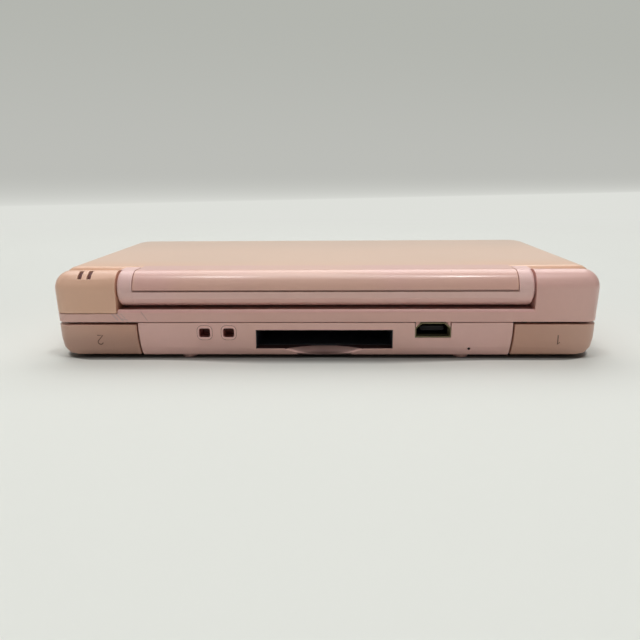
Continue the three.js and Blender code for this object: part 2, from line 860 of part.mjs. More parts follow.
function ledLightGuide() {
  const guideTop = barrelRadius - knuckleWall - fitGap;
  const prongs = ledX.map((x) =>
    ringSlice(
      guideTop - guideDepth,
      barrelRadius - ledRecess,
      ledStartAngle + ledMarginAngle,
      ledEndAngle - ledMarginAngle,
      around(x, ledWidth - 2 * seamGap),
    ),
  );
  const bridge = ringSlice(guideTop - guideDepth, guideTop, ledStartAngle, ledEndAngle, guideStemX);
  const stem = block(guideStemX, guideStemY, [boardTop + fitGap, hingeZ + guideTop - guideDepth / 2]);
  return union([bridge, stem, ...prongs]);
}
add("led_light_guide", ledLightGuide(), amberResin);

add(
  "hinge_clutch_pin",
  bar(
    "x",
    [hingeY, hingeZ],
    hingePinRadius,
    [barrelHalfLength - hingePinReach, coreX[1]],
    smallRound,
  ),
  tinnedSteel,
);
const hollowPinX = [-knuckleInner - knuckleWall - hollowPinReach, -barrelHalfLength + hollowPinReach];
const hollowPinBore = hollowPinRadius - hollowPinWall;
add(
  "hinge_hollow_pin",
  bar("x", [hingeY, hingeZ], hollowPinRadius, hollowPinX, midRound).subtract(
    bar("x", [hingeY, hingeZ], hollowPinBore, grown(hollowPinX, overrun), midRound),
  ),
  tinnedSteel,
);

function shoulderButton(side) {
  const lipTop = baseSeam - shoulderSeam;
  const whole = sliceZ(baseOuter, [shellFloor + shoulderBottomHeight, lipTop]);
  const zone = shoulderZone(side, shoulderSeam, shoulderSideGap, shoulderLip);
  const hollow = sliceZ(baseForm(shoulderWall), [
    shellFloor + shoulderLipThickness,
    lipTop - shoulderLipThickness,
  ]);
  const [pinX, pinY] = shoulderPinAt(side);
  const eyeRadius = shoulderPinRadius + fitGap + shoulderEyeWall;
  const eyeZ = [floorTop + looseGap, lipTop - looseGap];
  const eye = union([
    bar("z", [pinX, pinY], eyeRadius, eyeZ, midRound),
    block(around(pinX, 2 * eyeRadius), [pinY, back - shoulderWall / 2 - endDraft], eyeZ),
  ]).subtract(bar("z", [pinX, pinY], shoulderPinRadius + fitGap, grown(eyeZ, overrun), smallRound));
  const insideSkin = eye.intersect(sliceZ(baseForm(shoulderWall / 2), below(baseSeam)));
  return whole.intersect(zone).subtract(hollow).add(insideSkin);
}
for (const [name, side] of [
  ["right", 1],
  ["left", -1],
]) {
  add(`shoulder_button_${name}`, shoulderButton(side), tanPlastic);
  add(
    `shoulder_pin_${name}`,
    bar(
      "z",
      shoulderPinAt(side),
      shoulderPinRadius,
      [floorTop + seamGap, boardBottom - seamGap],
      smallRound,
    ),
    tinnedSteel,
  );
}

// Main board with the chips, switches and connectors soldered to it
const boardEdge = 2.2;
const boardCornerCut = 11;
const chipThickness = 0.9;
const processorSize = 14;
const processorInset = 23.5;
const processorAt = [right - processorInset, lowerScreenY];
const memorySize = [9, 9];
const memoryInset = 21.5;
const memoryDepth = 19.4;
const memoryAt = [right - memoryInset, front + memoryDepth];
const boardNotchGap = 0.6;

function mainBoard() {
  const x = right - sideWall - sideDraft - boardEdge;
  const [low, high] = [front + sideWall + boardEdge, back - sideWall - boardEdge];
  const points = [
    [-x, low],
    [x, low],
    [x, high - boardCornerCut],
    [x - boardCornerCut, high],
    [boardCornerCut - x, high],
    [-x, high - boardCornerCut],
  ];
  const z = [boardBottom, boardTop];
  const under = [boardBottom - chipThickness, boardBottom + seamGap];
  const plate = prism("z", points, z);
  const processor = block(
    around(processorAt[0], processorSize),
    around(processorAt[1], processorSize),
    under,
  );
  const memory = block(around(memoryAt[0], memorySize[0]), around(memoryAt[1], memorySize[1]), under);
  const socketNotch = block(
    grown(socketX2, boardNotchGap),
    [back - socketDepth - boardNotchGap, consoleDepth],
    grown(z, overrun),
  );
  const holes = baseScrews.map(([, at]) =>
    bar("z", at, screwShaftRadius + looseGap, grown(z, overrun), smallRound),
  );
  return carve(union([plate, processor, memory]), [socketNotch, ...holes]);
}
add("main_board", mainBoard(), greenBoard);

// Wireless module under the board, right of the card slot
const wifiWidth = 12.6;
const wifiLength = 24;
const wifiInset = 3.4;
const wifiBackInset = 11.95;
const wifiX = [cageOuter + wifiInset, cageOuter + wifiInset + wifiWidth];
const wifiY = [back - wifiBackInset - wifiLength, back - wifiBackInset];
const wifiThickness = 1.9;
const shieldInset = 0.8;
const shieldThickness = 0.9;
add(
  "wifi_module",
  union([
    block(wifiX, wifiY, [boardBottom - fitGap - wifiThickness, boardBottom - fitGap]),
    block(grown(wifiX, -shieldInset), grown(wifiY, -shieldInset), [
      boardBottom - fitGap - wifiThickness - shieldThickness,
      boardBottom - wifiThickness,
    ]),
  ]),
  tinnedSteel,
);

// Slot cages: folded metal roofs and sides with a contact block at the inner end
function cage(halfWidth, y, top, roof, rearY, contactZ, contacts) {
  const walls = [-1, 1].map((side) => {
    const span = [halfWidth + fitGap, halfWidth + fitGap + cageWall];
    return block(side > 0 ? span : mirrored(span), y, [floorTop + fitGap, top + fitGap + roof]);
  });
  const outer = around(0, 2 * (halfWidth + fitGap + cageWall));
  const plate = block(outer, y, [top + fitGap, top + fitGap + roof]);
  const rear = block(outer, rearY, [floorTop + fitGap, top + fitGap + roof]);
  const pitch = (2 * halfWidth) / (contacts + 1);
  const combs = Array.from({ length: contacts }, (_, i) =>
    block(
      around((i + 1) * pitch - halfWidth, pitch / 2),
      grown(rearY, cageWall),
      contactZ,
    ),
  );
  return union([...walls, plate, rear, ...combs]);
}
const cardContacts = 17;
const cartridgeContacts = 24;
const contactHeight = 0.6;
add(
  "card_slot_cage",
  cage(
    cardSlotHalfWidth,
    [cardSlotEnd - cageRearBlock, back - sideWall - endDraft - fitGap],
    cardSlotTop,
    cageWall,
    [cardSlotEnd - cageRearBlock, cardSlotEnd],
    [floorTop + looseGap, floorTop + looseGap + contactHeight],
    cardContacts,
  ),
  tinnedSteel,
);
add(
  "cartridge_slot_cage",
  cage(
    cartridgeHalfWidth,
    [front + sideWall + endDraft + fitGap, cartridgeEnd + cageRearBlock],
    cartridgeTop,
    cartridgeCageTop,
    [cartridgeEnd, cartridgeEnd + cageRearBlock],
    [floorTop + looseGap, floorTop + looseGap + contactHeight],
    cartridgeContacts,
  ),
  tinnedSteel,
);

function dustCover() {
  const halfWidth = cartridgeHalfWidth - fitGap;
  const z = [floorTop + fitGap, cartridgeTop - fitGap];
  const y = [front + endDraft, front + endDraft + dustCoverDepth];
  const outer = block(around(0, 2 * halfWidth), y, z);
  const hollow = block(
    around(0, 2 * (halfWidth - dustCoverWall)),
    [y[0] + dustCoverWall, y[1] + overrun],
    grown(z, -dustCoverWall),
  );
  const pullGroove = block(
    around(0, halfWidth),
    [y[0] - overrun, y[0] + grooveWidth],
    [z[0] + grooveWidth, z[0] + 2 * grooveWidth],
  );
  return carve(outer, [hollow, pullGroove]);
}
add("cartridge_dust_cover", dustCover(), pinkPlastic);

// Battery, its cover and the cover's screw
add(
  "battery_pack",
  prism("z", roundedRectangle(batteryX, batteryY, batteryCoverReach, edgeSteps), [
    floorTop + fitGap,
    boardBottom - looseGap,
  ]),
  batteryWrap,
);
const coverScrewSeat = shellFloor + screwHeadHeight;
add(
  "battery_cover",
  carve(
    prism(
      "z",
      roundedRectangle(batteryCoverX, batteryCoverY, batteryCoverRadius - fitGap, edgeSteps),
      [shellFloor, floorTop],
    ),
    [
      bar("z", coverScrewAt, screwShaftRadius + fitGap, [0, baseSeam], smallRound),
      bar("z", coverScrewAt, screwHeadRadius + fitGap, [0, coverScrewSeat], smallRound),
    ],
  ),
  pinkPlastic,
);

// A cross-head screw that stands head down, from its head's underside up.
const driveWidth = 0.45;
const driveDepth = 0.5;
function screw([x, y], headZ, tipZ) {
  const head = bar("z", [x, y], screwHeadRadius, [headZ, headZ + screwHeadHeight], smallRound);
  const shaft = bar("z", [x, y], screwShaftRadius, [headZ, tipZ], smallRound);
  const slot = (dx, dy) => block(around(x, dx), around(y, dy), [headZ - overrun, headZ + driveDepth]);
  return carve(head.add(shaft), [
    slot(2 * screwShaftRadius, driveWidth),
    slot(driveWidth, 2 * screwShaftRadius),
  ]);
}
add(
  "battery_cover_screw",
  screw(coverScrewAt, coverScrewSeat - screwHeadHeight - seamGap, boardBottom - 2 * looseGap),
  tinnedSteel,
);
for (const [name, at] of baseScrews)
  add(name, screw(at, headSeat - screwHeadHeight, deckUnder - looseGap), tinnedSteel);
for (const [name, at] of feet)
  add(name, bar("z", at, footRadius, [0, shellFloor + footSeatDepth - seamGap], midRound), pinkPlastic);

// Charging socket: a folded shell with chamfered upper corners round a contact tongue
function chargingSocket() {
  const half = socketWidth / 2 - fitGap;
  const top = baseSeam - fitGap;
  const outline = (by) => [
    [socketX - half + by, socketBottom + fitGap + by],
    [socketX + half - by, socketBottom + fitGap + by],
    [socketX + half - by, top - socketChamferHeight - by / 2],
    [socketX + half - socketChamferWidth - by / 2, top - by],
    [socketX - half + socketChamferWidth + by / 2, top - by],
    [socketX - half + by, top - socketChamferHeight - by / 2],
  ];
  const y = [back - socketDepth, back - sideWall - endDraft - fitGap];
  const can = prism("y", outline(0), y).subtract(
    prism("y", outline(socketWall), [y[0] + 2 * socketWall, y[1] + overrun]),
  );
  const tongueZ = around((socketBottom + top) / 2, tongueThickness);
  return can.add(
    block(around(socketX, tongueWidth), [y[0] + socketWall, y[0] + tongueLength], tongueZ),
  );
}
add("charging_socket", chargingSocket(), tinnedSteel);

function audioJack() {
  const y = [front + sideWall + endDraft + fitGap, front + sideWall + endDraft + jackBodyLength];
  const body = block(around(jackX, jackBodyWidth), y, [floorTop + fitGap, boardBottom - looseGap]);
  const headset = block(
    [jackX + headsetSlotOffset - headsetSlotWidth, jackX + headsetSlotOffset + headsetSlotWidth],
    y,
    around(jackZ, headsetSlotHeight + 2 * cageWall),
  );
  const collar = bar(
    "y",
    [jackX, jackZ],
    jackCollarRadius,
    [front + 2 * endDraft, y[0] + seamGap],
    midRound,
  );
  return carve(union([body, headset, collar]), [
    bar("y", [jackX, jackZ], jackBoreRadius, [front - overrun, y[1] - sideWall], midRound),
    block(
      around(jackX + headsetSlotOffset, headsetSlotWidth - 2 * fitGap),
      [front, y[1] - 2 * sideWall],
      around(jackZ, headsetSlotHeight - 2 * fitGap),
    ),
  ]);
}
add("audio_jack", audioJack(), blackPlastic);

// Sliders: a ribbed knob in its slot, with a flange behind the wall
function powerSwitch() {
  const face = right - sideDraft * skinShare(powerZ);
  const inner = face - sideWall - sideDraft / 2;
  const y = around(powerY, powerKnobLength);
  const z = around(powerZ, powerKnobHeight);
  const knob = block([inner - seamGap, face + powerKnobProud], y, z);
  const flange = block(
    [inner - sliderFlange, inner],
    grown(y, sliderFlangeOverlap),
    grown(z, sliderFlangeOverlap / 2),
  );
  const grooves = [-1, 0, 1].map((i) =>
    block(
      [face + powerKnobProud - grooveWidth, face + powerKnobProud + overrun],
      around(powerY + 3 * i * grooveWidth, grooveWidth),
      grown(z, overrun),
    ),
  );
  return carve(knob.add(flange), grooves);
}
add("power_switch", powerSwitch(), pinkPlastic);

function volumeSlider() {
  const face = front + endDraft * skinShare(volumeZ);
  const inner = face + sideWall + endDraft;
  const x = around(volumeX, volumeKnobLength);
  const z = around(volumeZ, volumeKnobHeight);
  const knob = block(x, [face - volumeKnobProud, inner + seamGap], z);
  const flange = block(
    grown(x, sliderFlangeOverlap),
    [inner, inner + sliderFlange],
    grown(z, sliderFlangeOverlap / 2),
  );
  const grooves = [-1, 0, 1].map((i) =>
    block(
      around(volumeX + 2 * i * grooveWidth, grooveWidth),
      [face - volumeKnobProud - overrun, face - volumeKnobProud + grooveWidth],
      grown(z, overrun),
    ),
  );
  return carve(knob.add(flange), grooves);
}
add("volume_slider", volumeSlider(), pinkPlastic);

// Stylus: a round barrel with a stepped tip, its end cap flush with the side
const stylusTipLength = 5;
const stylusTipRadius = 0.75;
const stylusCapLength = 5;
const stylusCapGroove = 0.2;
function stylus() {
  const end = right - sideDraft * skinShare(stylusZ);
  const start = end - stylusLength;
  const profile = [
    [0, start],
    [stylusTipRadius, start],
    [stylusTipRadius, start + stylusTipLength / 2],
    [stylusRadius - looseGap, start + stylusTipLength],
    [stylusRadius, start + 2 * stylusTipLength],
    [stylusRadius, end - stylusCapLength - stylusCapGroove],
    [stylusRadius - stylusCapGroove, end - stylusCapLength - stylusCapGroove],
    [stylusRadius - stylusCapGroove, end - stylusCapLength],
    [stylusRadius, end - stylusCapLength],
    [stylusRadius, end - stylusTipRadius],
    [stylusRadius - stylusTipRadius, end],
    [0, end],
  ];
  const turned = new THREE.LatheGeometry(
    profile.map(([radius, along]) => new THREE.Vector2(radius, along)),
    midRound,
  );
  turned.rotateZ(-Math.PI / 2);
  turned.translate(0, stylusY, stylusZ);
  return solidFrom(turned);
}
add("stylus", stylus(), pinkPlastic);

// Touch panel and lower display
add(
  "touch_panel",
  block(touchX, touchY, [touchBottom, touchBottom + touchThickness]),
  darkGlass,
);
add(
  "lower_display_panel",
  block(grown(touchX, panelMargin), grown(touchY, panelMargin), [lowerPanelBottom, lowerPanelTop]),
  blackPlastic,
);

// Buttons: each stands in its hole in the deck on a rubber mat
const flangeTop = deckUnder - buttonGap;
const buttonBottom = flangeTop - buttonFlangeThickness;
const edgeChamfer = 0.35;
function roundButton(at, radius) {
  const top = deckTop + buttonProud;
  const circle = (r) => arc(at[0], at[1], r, 0, 360, midRound).slice(0, -1);
  const cap = loft([
    { at: buttonBottom, outline: circle(radius) },
    { at: top - edgeChamfer, outline: circle(radius) },
    { at: top - edgeChamfer / 3, outline: circle(radius - edgeChamfer / 3) },
    { at: top, outline: circle(radius - edgeChamfer) },
  ]);
  return cap.add(bar("z", at, radius + faceFlange, [buttonBottom, flangeTop], midRound));
}
for (const [name, at] of faceButtons) add(name, roundButton(at, faceRadius), peachGloss);
for (const [name, at] of menuButtons) add(name, roundButton(at, menuRadius), peachGloss);

const dpadBottom = boardTop + dpadLift;
const dpadPivotZ = [boardTop + dpadLift / 5, dpadBottom - dpadLift / 5];
add(
  "dpad",
  union([
    prism("z", cross(dpadReach, dpadArmWidth), [
      dpadBottom + dpadFlangeThickness - seamGap,
      deckTop + dpadProud,
    ]),
    bar("z", dpadAt, dpadFlangeRadius, [dpadBottom, dpadBottom + dpadFlangeThickness], largeRound),
  ]),
  peachGloss,
);
add("dpad_pivot", bar("z", dpadAt, dpadPivotRadius, dpadPivotZ, midRound), greyRubber);

function buttonMat() {
  const z = [boardTop + seamGap / 2, boardTop + seamGap / 2 + matThickness];
  const pad = bar("z", faceCentre, faceSpread + matMargin, z, midRound);
  const strip = block(
    around(menuX, 2 * (menuRadius + faceFlange)),
    [menuY[1] - matMargin, menuY[0] + matMargin],
    z,
  );
  const link = block(
    around(menuX, menuRadius),
    [menuY[0], faceCentre[1] - faceSpread / 2],
    z,
  );
  return union([pad, strip, link]);
}
add("button_mat", buttonMat(), greyRubber);

// Lid: rounded slab, its inner shell below the seam and its outer cover above
const lidSideInset = 0.2;
const lidTopEdgeRise = 1.8;
const lidTopEdgeSide = 2.9;
const lidTopEdgeEnd = 1.7;
const lidBottomEdgeRadius = 0.5;
const lidBackCorner = 2.6;

function lidForm(inset) {
  const section = (z, side, ends) => ({
    at: z,
    outline: casePlan(
      lidSideInset + inset + side,
      inset + ends,
      frontCornerRadius,
      lidBackCorner,
      lidBack,
    ),
  });
  const lower = edgeRound(lidBottomEdgeRadius).map((step) =>
    section(lidBottom + step.rise, step.inset, step.inset),
  );
  const upper = edgeRound(1)
    .reverse()
    .map((share) =>
      section(
        lidTop - inset - (lidTopEdgeRise - inset / 2) * share.rise,
        (lidTopEdgeSide - inset / 2) * share.inset,
        (lidTopEdgeEnd - inset / 2) * share.inset,
      ),
    );
  return loft([...lower, ...upper]);
}

// The cover wraps the barrel between its two end rings, down to the hinge line's height
const endRingLength = 3.95;
const wrapEndAngle = -2.6;
const wrapSeamAngle = THREE.MathUtils.radToDeg(shellSeam / barrelRadius);
const wrapThickness = 1.15;
const wrapHalfLength = barrelHalfLength - endRingLength;
const wrapX = [-wrapHalfLength, wrapHalfLength];
const wrapInner = barrelRadius - wrapThickness;

// Screws and pads on the lid's inner face
const lidScrewInset = 6.7;
const lidScrewDepth = 6.3;
const lidScrewX = right - lidScrewInset;
const lidScrewFront = front + lidScrewDepth;
const lidScrewBack = lidBack - lidScrewDepth;
const padRadius = 2.2;
const padDepth = 0.6;
const padProud = 0.8;
const lidScrews = [
  ["front_left", [-lidScrewX, lidScrewFront]],
  ["front_right", [lidScrewX, lidScrewFront]],
  ["back_left", [-lidScrewX, lidScrewBack]],
  ["back_right", [lidScrewX, lidScrewBack]],
];
const padTop = lidBottom + padDepth;
const lidHeadBottom = padTop + seamGap;
const lidHeadSeat = lidHeadBottom + screwHeadHeight + seamGap;
const lidPostTop = lidHeadSeat + lidWall;

// Speakers behind two groups of round holes, left and right of the upper display
const speakerX = (upperWindowWidth / 2 + right) / 2;
const speakerY = upperScreenY;
const speakerRadius = 6.6;
const speakerThickness = 2.8;
const magnetShare = 0.7;
const speakerHoleRadius = 0.8;
const speakerHoleSpread = 3.2;
const speakerHoleCount = 6;
const speakerHoles = [-speakerX, speakerX].flatMap((x) =>
  arc(x, speakerY, speakerHoleSpread, 0, 360, speakerHoleCount).slice(0, -1),
);

// Microphone in the middle of the barrel, which listens through a port that faces the player
const micRadius = 2.8;
const micLength = 6;
const micPortRadius = 0.5;
const clutchRadius = 2.8;
const clutchLength = 14;
const ribbonRadius = 1.2;
const ribbonTailReach = 4.5;
const ribbonThickness = 0.3;
const ribbonRollX = [hollowPinX[0] + fitGap, windowX[0] - panelMargin - looseGap];
const ribbonFlatX = [hollowPinX[1] + fitGap, ribbonRollX[1]];

function barrelProfile() {
  const dip = THREE.MathUtils.radToDeg(Math.asin((hingeZ - lidBottom) / barrelRadius));
  return [
    ...arc(hingeY, hingeZ, barrelRadius, dip - 180, 90, midRound),
    [lidBack + fitGap, lidTop],
    [lidBack + fitGap, lidBottom],
  ];
}

// The barrel's whole round form, with its end edges rounded.
function barrelForm() {
  const flat = barrelHalfLength - barrelEndRadius;
  const core = barrelRadius - barrelEndRadius;
  const end = arc(core, flat, barrelEndRadius, 0, 90, edgeSteps);
  const profile = [...end.map(([r, x]) => [r, -x]).reverse(), ...end];
  const points = [[0, -barrelHalfLength], ...profile, [0, barrelHalfLength]];
  const turned = new THREE.LatheGeometry(
    points.map(([radius, along]) => new THREE.Vector2(radius, along)),
    largeRound,
  );
  turned.rotateZ(-Math.PI / 2);
  turned.translate(0, hingeY, hingeZ);
  return solidFrom(turned);
}

function lidInnerShell() {
  const slab = sliceZ(lidForm(0), [lidBottom, lidSeam]).subtract(
    sliceZ(lidForm(lidWall), above(lidFloorTop)),
  );
  const floorTongue = block(
    [-barrelHalfLength, barrelHalfLength],
    [lidBack - 2 * lidWall, hingeY],
    [lidBottom, lidFloorTop],
  );
  const tub = ringSlice(
    barrelBore,
    barrelRadius,
    -180,
    wrapEndAngle - wrapSeamAngle,
    [-barrelHalfLength + endRingLength / 2, barrelHalfLength - endRingLength / 2],
  );
  const frontRib = block(
    [-barrelHalfLength, barrelHalfLength],
    [hingeY - barrelRadius, hingeY - barrelBore],
    [lidBottom, hingeZ],
  );
  const endX = [wrapHalfLength + fitGap, barrelHalfLength];
  const endForm = union([
    barrelForm(),
    block([-barrelHalfLength, barrelHalfLength], [lidBack, hingeY], [lidBottom, lidTop]),
  ]);
  const ends = [endX, mirrored(endX)].map((x) => prism("x", barrelProfile(), x).intersect(endForm));
  const posts = lidScrews.map(([, at]) =>
    bar("z", at, bossRadius, [lidFloorTop - seamGap, lidPostTop], smallRound),
  );
  const endBoreX = [wrapHalfLength - overrun, right];
  const endBores = [
    bar("x", [hingeY, hingeZ], hollowPinRadius + fitGap, mirrored(endBoreX), midRound),
    bar("x", [hingeY, hingeZ], hingePinRadius + fitGap, endBoreX, midRound),
  ];
  const bore = bar("x", [hingeY, hingeZ], barrelBore, grown(wrapX, fitGap), largeRound);
  const ribbonNotch = block(
    grown(ribbonFlatX, fitGap),
    [lidBack - 2 * lidWall, hingeY],
    around(hingeZ, ribbonThickness + 2 * fitGap),
  );
  const micPort = bar("z", [0, hingeY], micPortRadius, below(hingeZ), smallRound);
  const throughFloor = [lidBottom - overrun, lidFloorTop + overrun];
  return carve(union([slab, floorTongue, tub, frontRib, ...ends, ...posts]), [
    ...endBores,
    bore,
    ribbonNotch,
    micPort,
    block(grown(windowX, fitGap), grown(windowY, fitGap), throughFloor),
    ...speakerHoles.map((at) => bar("z", at, speakerHoleRadius, throughFloor, smallRound)),
    ...lidScrews.flatMap(([, at]) => [
      bar("z", at, padRadius + seamGap, [0, padTop + seamGap / 2], midRound),
      bar("z", at, screwHeadRadius + fitGap, [0, lidHeadSeat], smallRound),
      bar("z", at, screwShaftRadius + fitGap, [0, lidTop], smallRound),
    ]),
  ]);
}
add("lid_inner_shell", lidInnerShell(), pinkPlastic);

function lidOuterCover() {
  const slab = sliceZ(lidForm(0), above(lidSeam + shellSeam)).subtract(
    sliceZ(lidForm(lidWall), below(lidCeiling)),
  );
  const bridge = block(wrapX, [lidBack - 2 * lidTopEdgeEnd, hingeY + seamGap], [
    lidTop - wrapThickness,
    lidTop,
  ]);
  const wrap = ringSlice(wrapInner, barrelRadius, wrapEndAngle, 90, wrapX);
  const backWallCut = block(
    grown(wrapX, seamGap),
    [lidBack - 2 * lidWall, lidBack + overrun],
    [0, lidTop - wrapThickness],
  );
  const posts = lidScrews.map(([, at]) =>
    bar("z", at, bossRadius - fitGap, [lidPostTop + fitGap, lidCeiling + seamGap], smallRound),
  );
  const bores = lidScrews.map(([, at]) =>
    bar("z", at, screwShaftRadius + fitGap, [0, lidCeiling - seamGap], smallRound),
  );
  const shell = slab.subtract(backWallCut);
  return carve(union([shell, bridge, wrap, ...posts]), bores);
}
add("lid_outer_cover", lidOuterCover(), peachGloss);

add(
  "upper_display_window",
  prism("z", roundedRectangle(windowX, windowY, windowCornerRadius, edgeSteps), [
    lidBottom + windowRecess,
    lidBottom + windowRecess + windowThickness,
  ]),
  darkGlass,
);
const upperPanelBottom = Math.max(lidFloorTop, lidBottom + windowRecess + windowThickness) + fitGap;
add(
  "upper_display_panel",
  block(grown(windowX, panelMargin), grown(windowY, panelMargin), [
    upperPanelBottom,
    upperPanelBottom + upperPanelThickness,
  ]),
  blackPlastic,
);

for (const [name, x] of [
  ["left", -speakerX],
  ["right", speakerX],
]) {
  const z = lidFloorTop + fitGap;
  add(
    `speaker_${name}`,
    union([
      bar("z", [x, speakerY], speakerRadius, [z, z + speakerThickness / 2], midRound),
      bar("z", [x, speakerY], speakerRadius * magnetShare, [z, z + speakerThickness], midRound),
    ]),
    blackPlastic,
  );
}
for (const [name, at] of lidScrews) {
  add(`lid_pad_${name}`, bar("z", at, padRadius, [lidBottom - padProud, padTop], midRound), greyRubber);
  add(`lid_screw_${name}`, screw(at, lidHeadBottom, lidCeiling - looseGap), tinnedSteel);
}

add("microphone", bar("x", [hingeY, hingeZ], micRadius, around(0, micLength), midRound), blackPlastic);
const clutchEnd = wrapHalfLength - fitGap;
const clutchX = [clutchEnd - clutchLength, clutchEnd];
const clutchBoreX = [barrelHalfLength - hingePinReach - fitGap, right];
add(
  "hinge_clutch",
  bar("x", [hingeY, hingeZ], clutchRadius, clutchX, midRound).subtract(
    bar("x", [hingeY, hingeZ], hingePinRadius + fitGap, clutchBoreX, midRound),
  ),
  tinnedSteel,
);

// Display ribbon: rolled through the hollow hinge pin, flat on either side of it
add(
  "display_ribbon",
  union([
    bar("x", [hingeY, hingeZ], ribbonRadius, ribbonRollX, smallRound),
    block(
      ribbonFlatX,
      [windowY[1] + panelMargin + fitGap, hingeY],
      around(hingeZ, ribbonThickness),
    ),
  ]),
  goldFlex,
);
add(
  "ribbon_tail",
  union([
    block(
      [hollowPinX[0] - fitGap - ribbonThickness, hollowPinX[0] - fitGap],
      around(hingeY, 2 * ribbonRadius),
      [boardTop + fitGap, hingeZ + ribbonRadius],
    ),
    block(
      [hollowPinX[0] - fitGap - ribbonTailReach, hollowPinX[0] - fitGap],
      around(hingeY, 2 * ribbonRadius),
      [boardTop + fitGap, boardTop + fitGap + ribbonThickness],
    ),
  ]),
  goldFlex,
);

export default group;
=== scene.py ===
# A folding two-screen handheld console, closed and seen from its hinge side.
import math

import bpy
import numpy as np
from mathutils import Matrix, Vector


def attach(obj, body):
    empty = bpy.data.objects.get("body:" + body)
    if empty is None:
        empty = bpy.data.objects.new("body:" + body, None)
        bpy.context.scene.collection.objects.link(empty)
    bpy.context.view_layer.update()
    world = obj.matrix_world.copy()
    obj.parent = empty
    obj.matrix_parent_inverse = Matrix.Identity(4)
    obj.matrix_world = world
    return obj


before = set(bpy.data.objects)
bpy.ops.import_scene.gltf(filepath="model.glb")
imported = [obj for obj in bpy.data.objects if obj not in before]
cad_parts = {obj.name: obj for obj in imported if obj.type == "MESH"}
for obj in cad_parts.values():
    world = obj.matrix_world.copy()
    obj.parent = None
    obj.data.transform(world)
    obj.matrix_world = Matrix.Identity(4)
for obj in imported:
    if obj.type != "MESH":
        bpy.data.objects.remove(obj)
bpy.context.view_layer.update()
scene = bpy.context.scene
scene.view_settings.view_transform = "Standard"


# ---- The view
# The photograph was taken from behind the console, a little above it and almost square on. These
# are the place and the turn that put the console's known corners where the photograph has them.
MM = 0.001
VIEW_FROM = Vector((-3.753, 189.90, 44.74)) * MM
VIEW_YAW, VIEW_PITCH, VIEW_ROLL = 0.0308, 0.2244, -0.0078
VIEW_LENS, VIEW_SENSOR = 36.52, 36.0
VIEW_NEAR, VIEW_FAR = 5 * MM, 20

camera = bpy.data.objects.new("view", bpy.data.cameras.new("view"))
scene.collection.objects.link(camera)
scene.camera = camera
camera.data.lens, camera.data.sensor_width = VIEW_LENS, VIEW_SENSOR
camera.data.clip_start, camera.data.clip_end = VIEW_NEAR, VIEW_FAR
ahead = Vector((
    math.sin(VIEW_YAW) * math.cos(VIEW_PITCH),
    -math.cos(VIEW_YAW) * math.cos(VIEW_PITCH),
    -math.sin(VIEW_PITCH),
))
level = ahead.cross(Vector((0, 0, 1))).normalized()
upright = level.cross(ahead)
turn = math.cos(VIEW_ROLL), math.sin(VIEW_ROLL)
rightward = level * turn[0] + upright * turn[1]
upward = upright * turn[0] - level * turn[1]
placed = Matrix((rightward, upward, -ahead)).transposed().to_4x4()
placed.translation = VIEW_FROM
camera.matrix_world = placed


# ---- Table and backdrop
# One sheet of matt white paper lies on the table and curves up behind the console into a wall,
# which the studio's fall-off leaves a little darker and greyer towards the top. Under the console
# the paper carries a painted contact shadow.
SWEEP_HALF_WIDTH = 2.6
SWEEP_NEAR, SWEEP_BEND, SWEEP_RADIUS, SWEEP_TOP = 2.6, -0.94, 0.06, 1.5
TABLE_ROWS, BEND_ROWS, WALL_ROWS, SWEEP_COLUMNS = 30, 24, 12, 40
SWEEP_SKEW, PAINT_SKEW = 0.40, 0.385
# A span is where a change of tone starts and where it ends: in metres along Y, from the middle
# along X, or for the bend and the wall along the unrolled sheet.
# The second paper tone is painted shade, darker towards the console and beyond it.
PAPER, PAPER_SHADE, SHADE_SPAN = (0.745, 0.755, 0.712), (0.690, 0.700, 0.664), (0.085, -0.03)
FIBRE_SIZE, FIBRE_SHARE = 9, 0.02
# The contact shadow painted under the console: its half size, corner, soft edge and tone.
STAND_HALF, STAND_CORNER = (65.6 * MM, 37.3 * MM), 9.0 * MM
STAND_SOFT, STAND_SOFT_SPAN = (0.9 * MM, 4.8 * MM), (0.043, 0.012)
CONTACT_SHADOW, SHADOW_SHARE = (0.06, 0.045, 0.042), 0.72
PAPER_LIT, BEND_SPAN = (0.735, 0.745, 0.705), (0.90, 1.045)
WALL_LOW, WALL_HIGH, WALL_SPAN = (0.505, 0.51, 0.48), (0.455, 0.465, 0.43), (1.03, 1.32)
BACKDROP_SPAN = (-0.13, -0.42)


def skin(rows, closed_rows=False, closed_columns=False):
    """Points and four-sided faces through a grid: each cell joins rows[i, j] to its next row and
    column, and a closed direction also joins its last line to its first."""
    count, width = rows.shape[:2]
    index = np.arange(count * width).reshape(count, width)
    if closed_rows:
        index = np.vstack([index, index[:1]])
    if closed_columns:
        index = np.hstack([index, index[:, :1]])
    corners = index[:-1, :-1], index[:-1, 1:], index[1:, 1:], index[1:, :-1]
    return rows.reshape(-1, 3), [tuple(face) for face in np.stack(corners, -1).reshape(-1, 4)]


def mesh_object(name, shells, smooth=True):
    """One object from several (points, faces) shells."""
    points, faces, start = [], [], 0
    for shell_points, shell_faces in shells:
        points.append(shell_points)
        faces += [tuple(int(i) + start for i in face) for face in shell_faces]
        start += len(shell_points)
    mesh = bpy.data.meshes.new(name)
    mesh.from_pydata(np.vstack(points).tolist(), [], faces)
    mesh.polygons.foreach_set("use_smooth", np.full(len(faces), smooth))
    mesh.update()
    made = bpy.data.objects.new(name, mesh)
    scene.collection.objects.link(made)
    return made


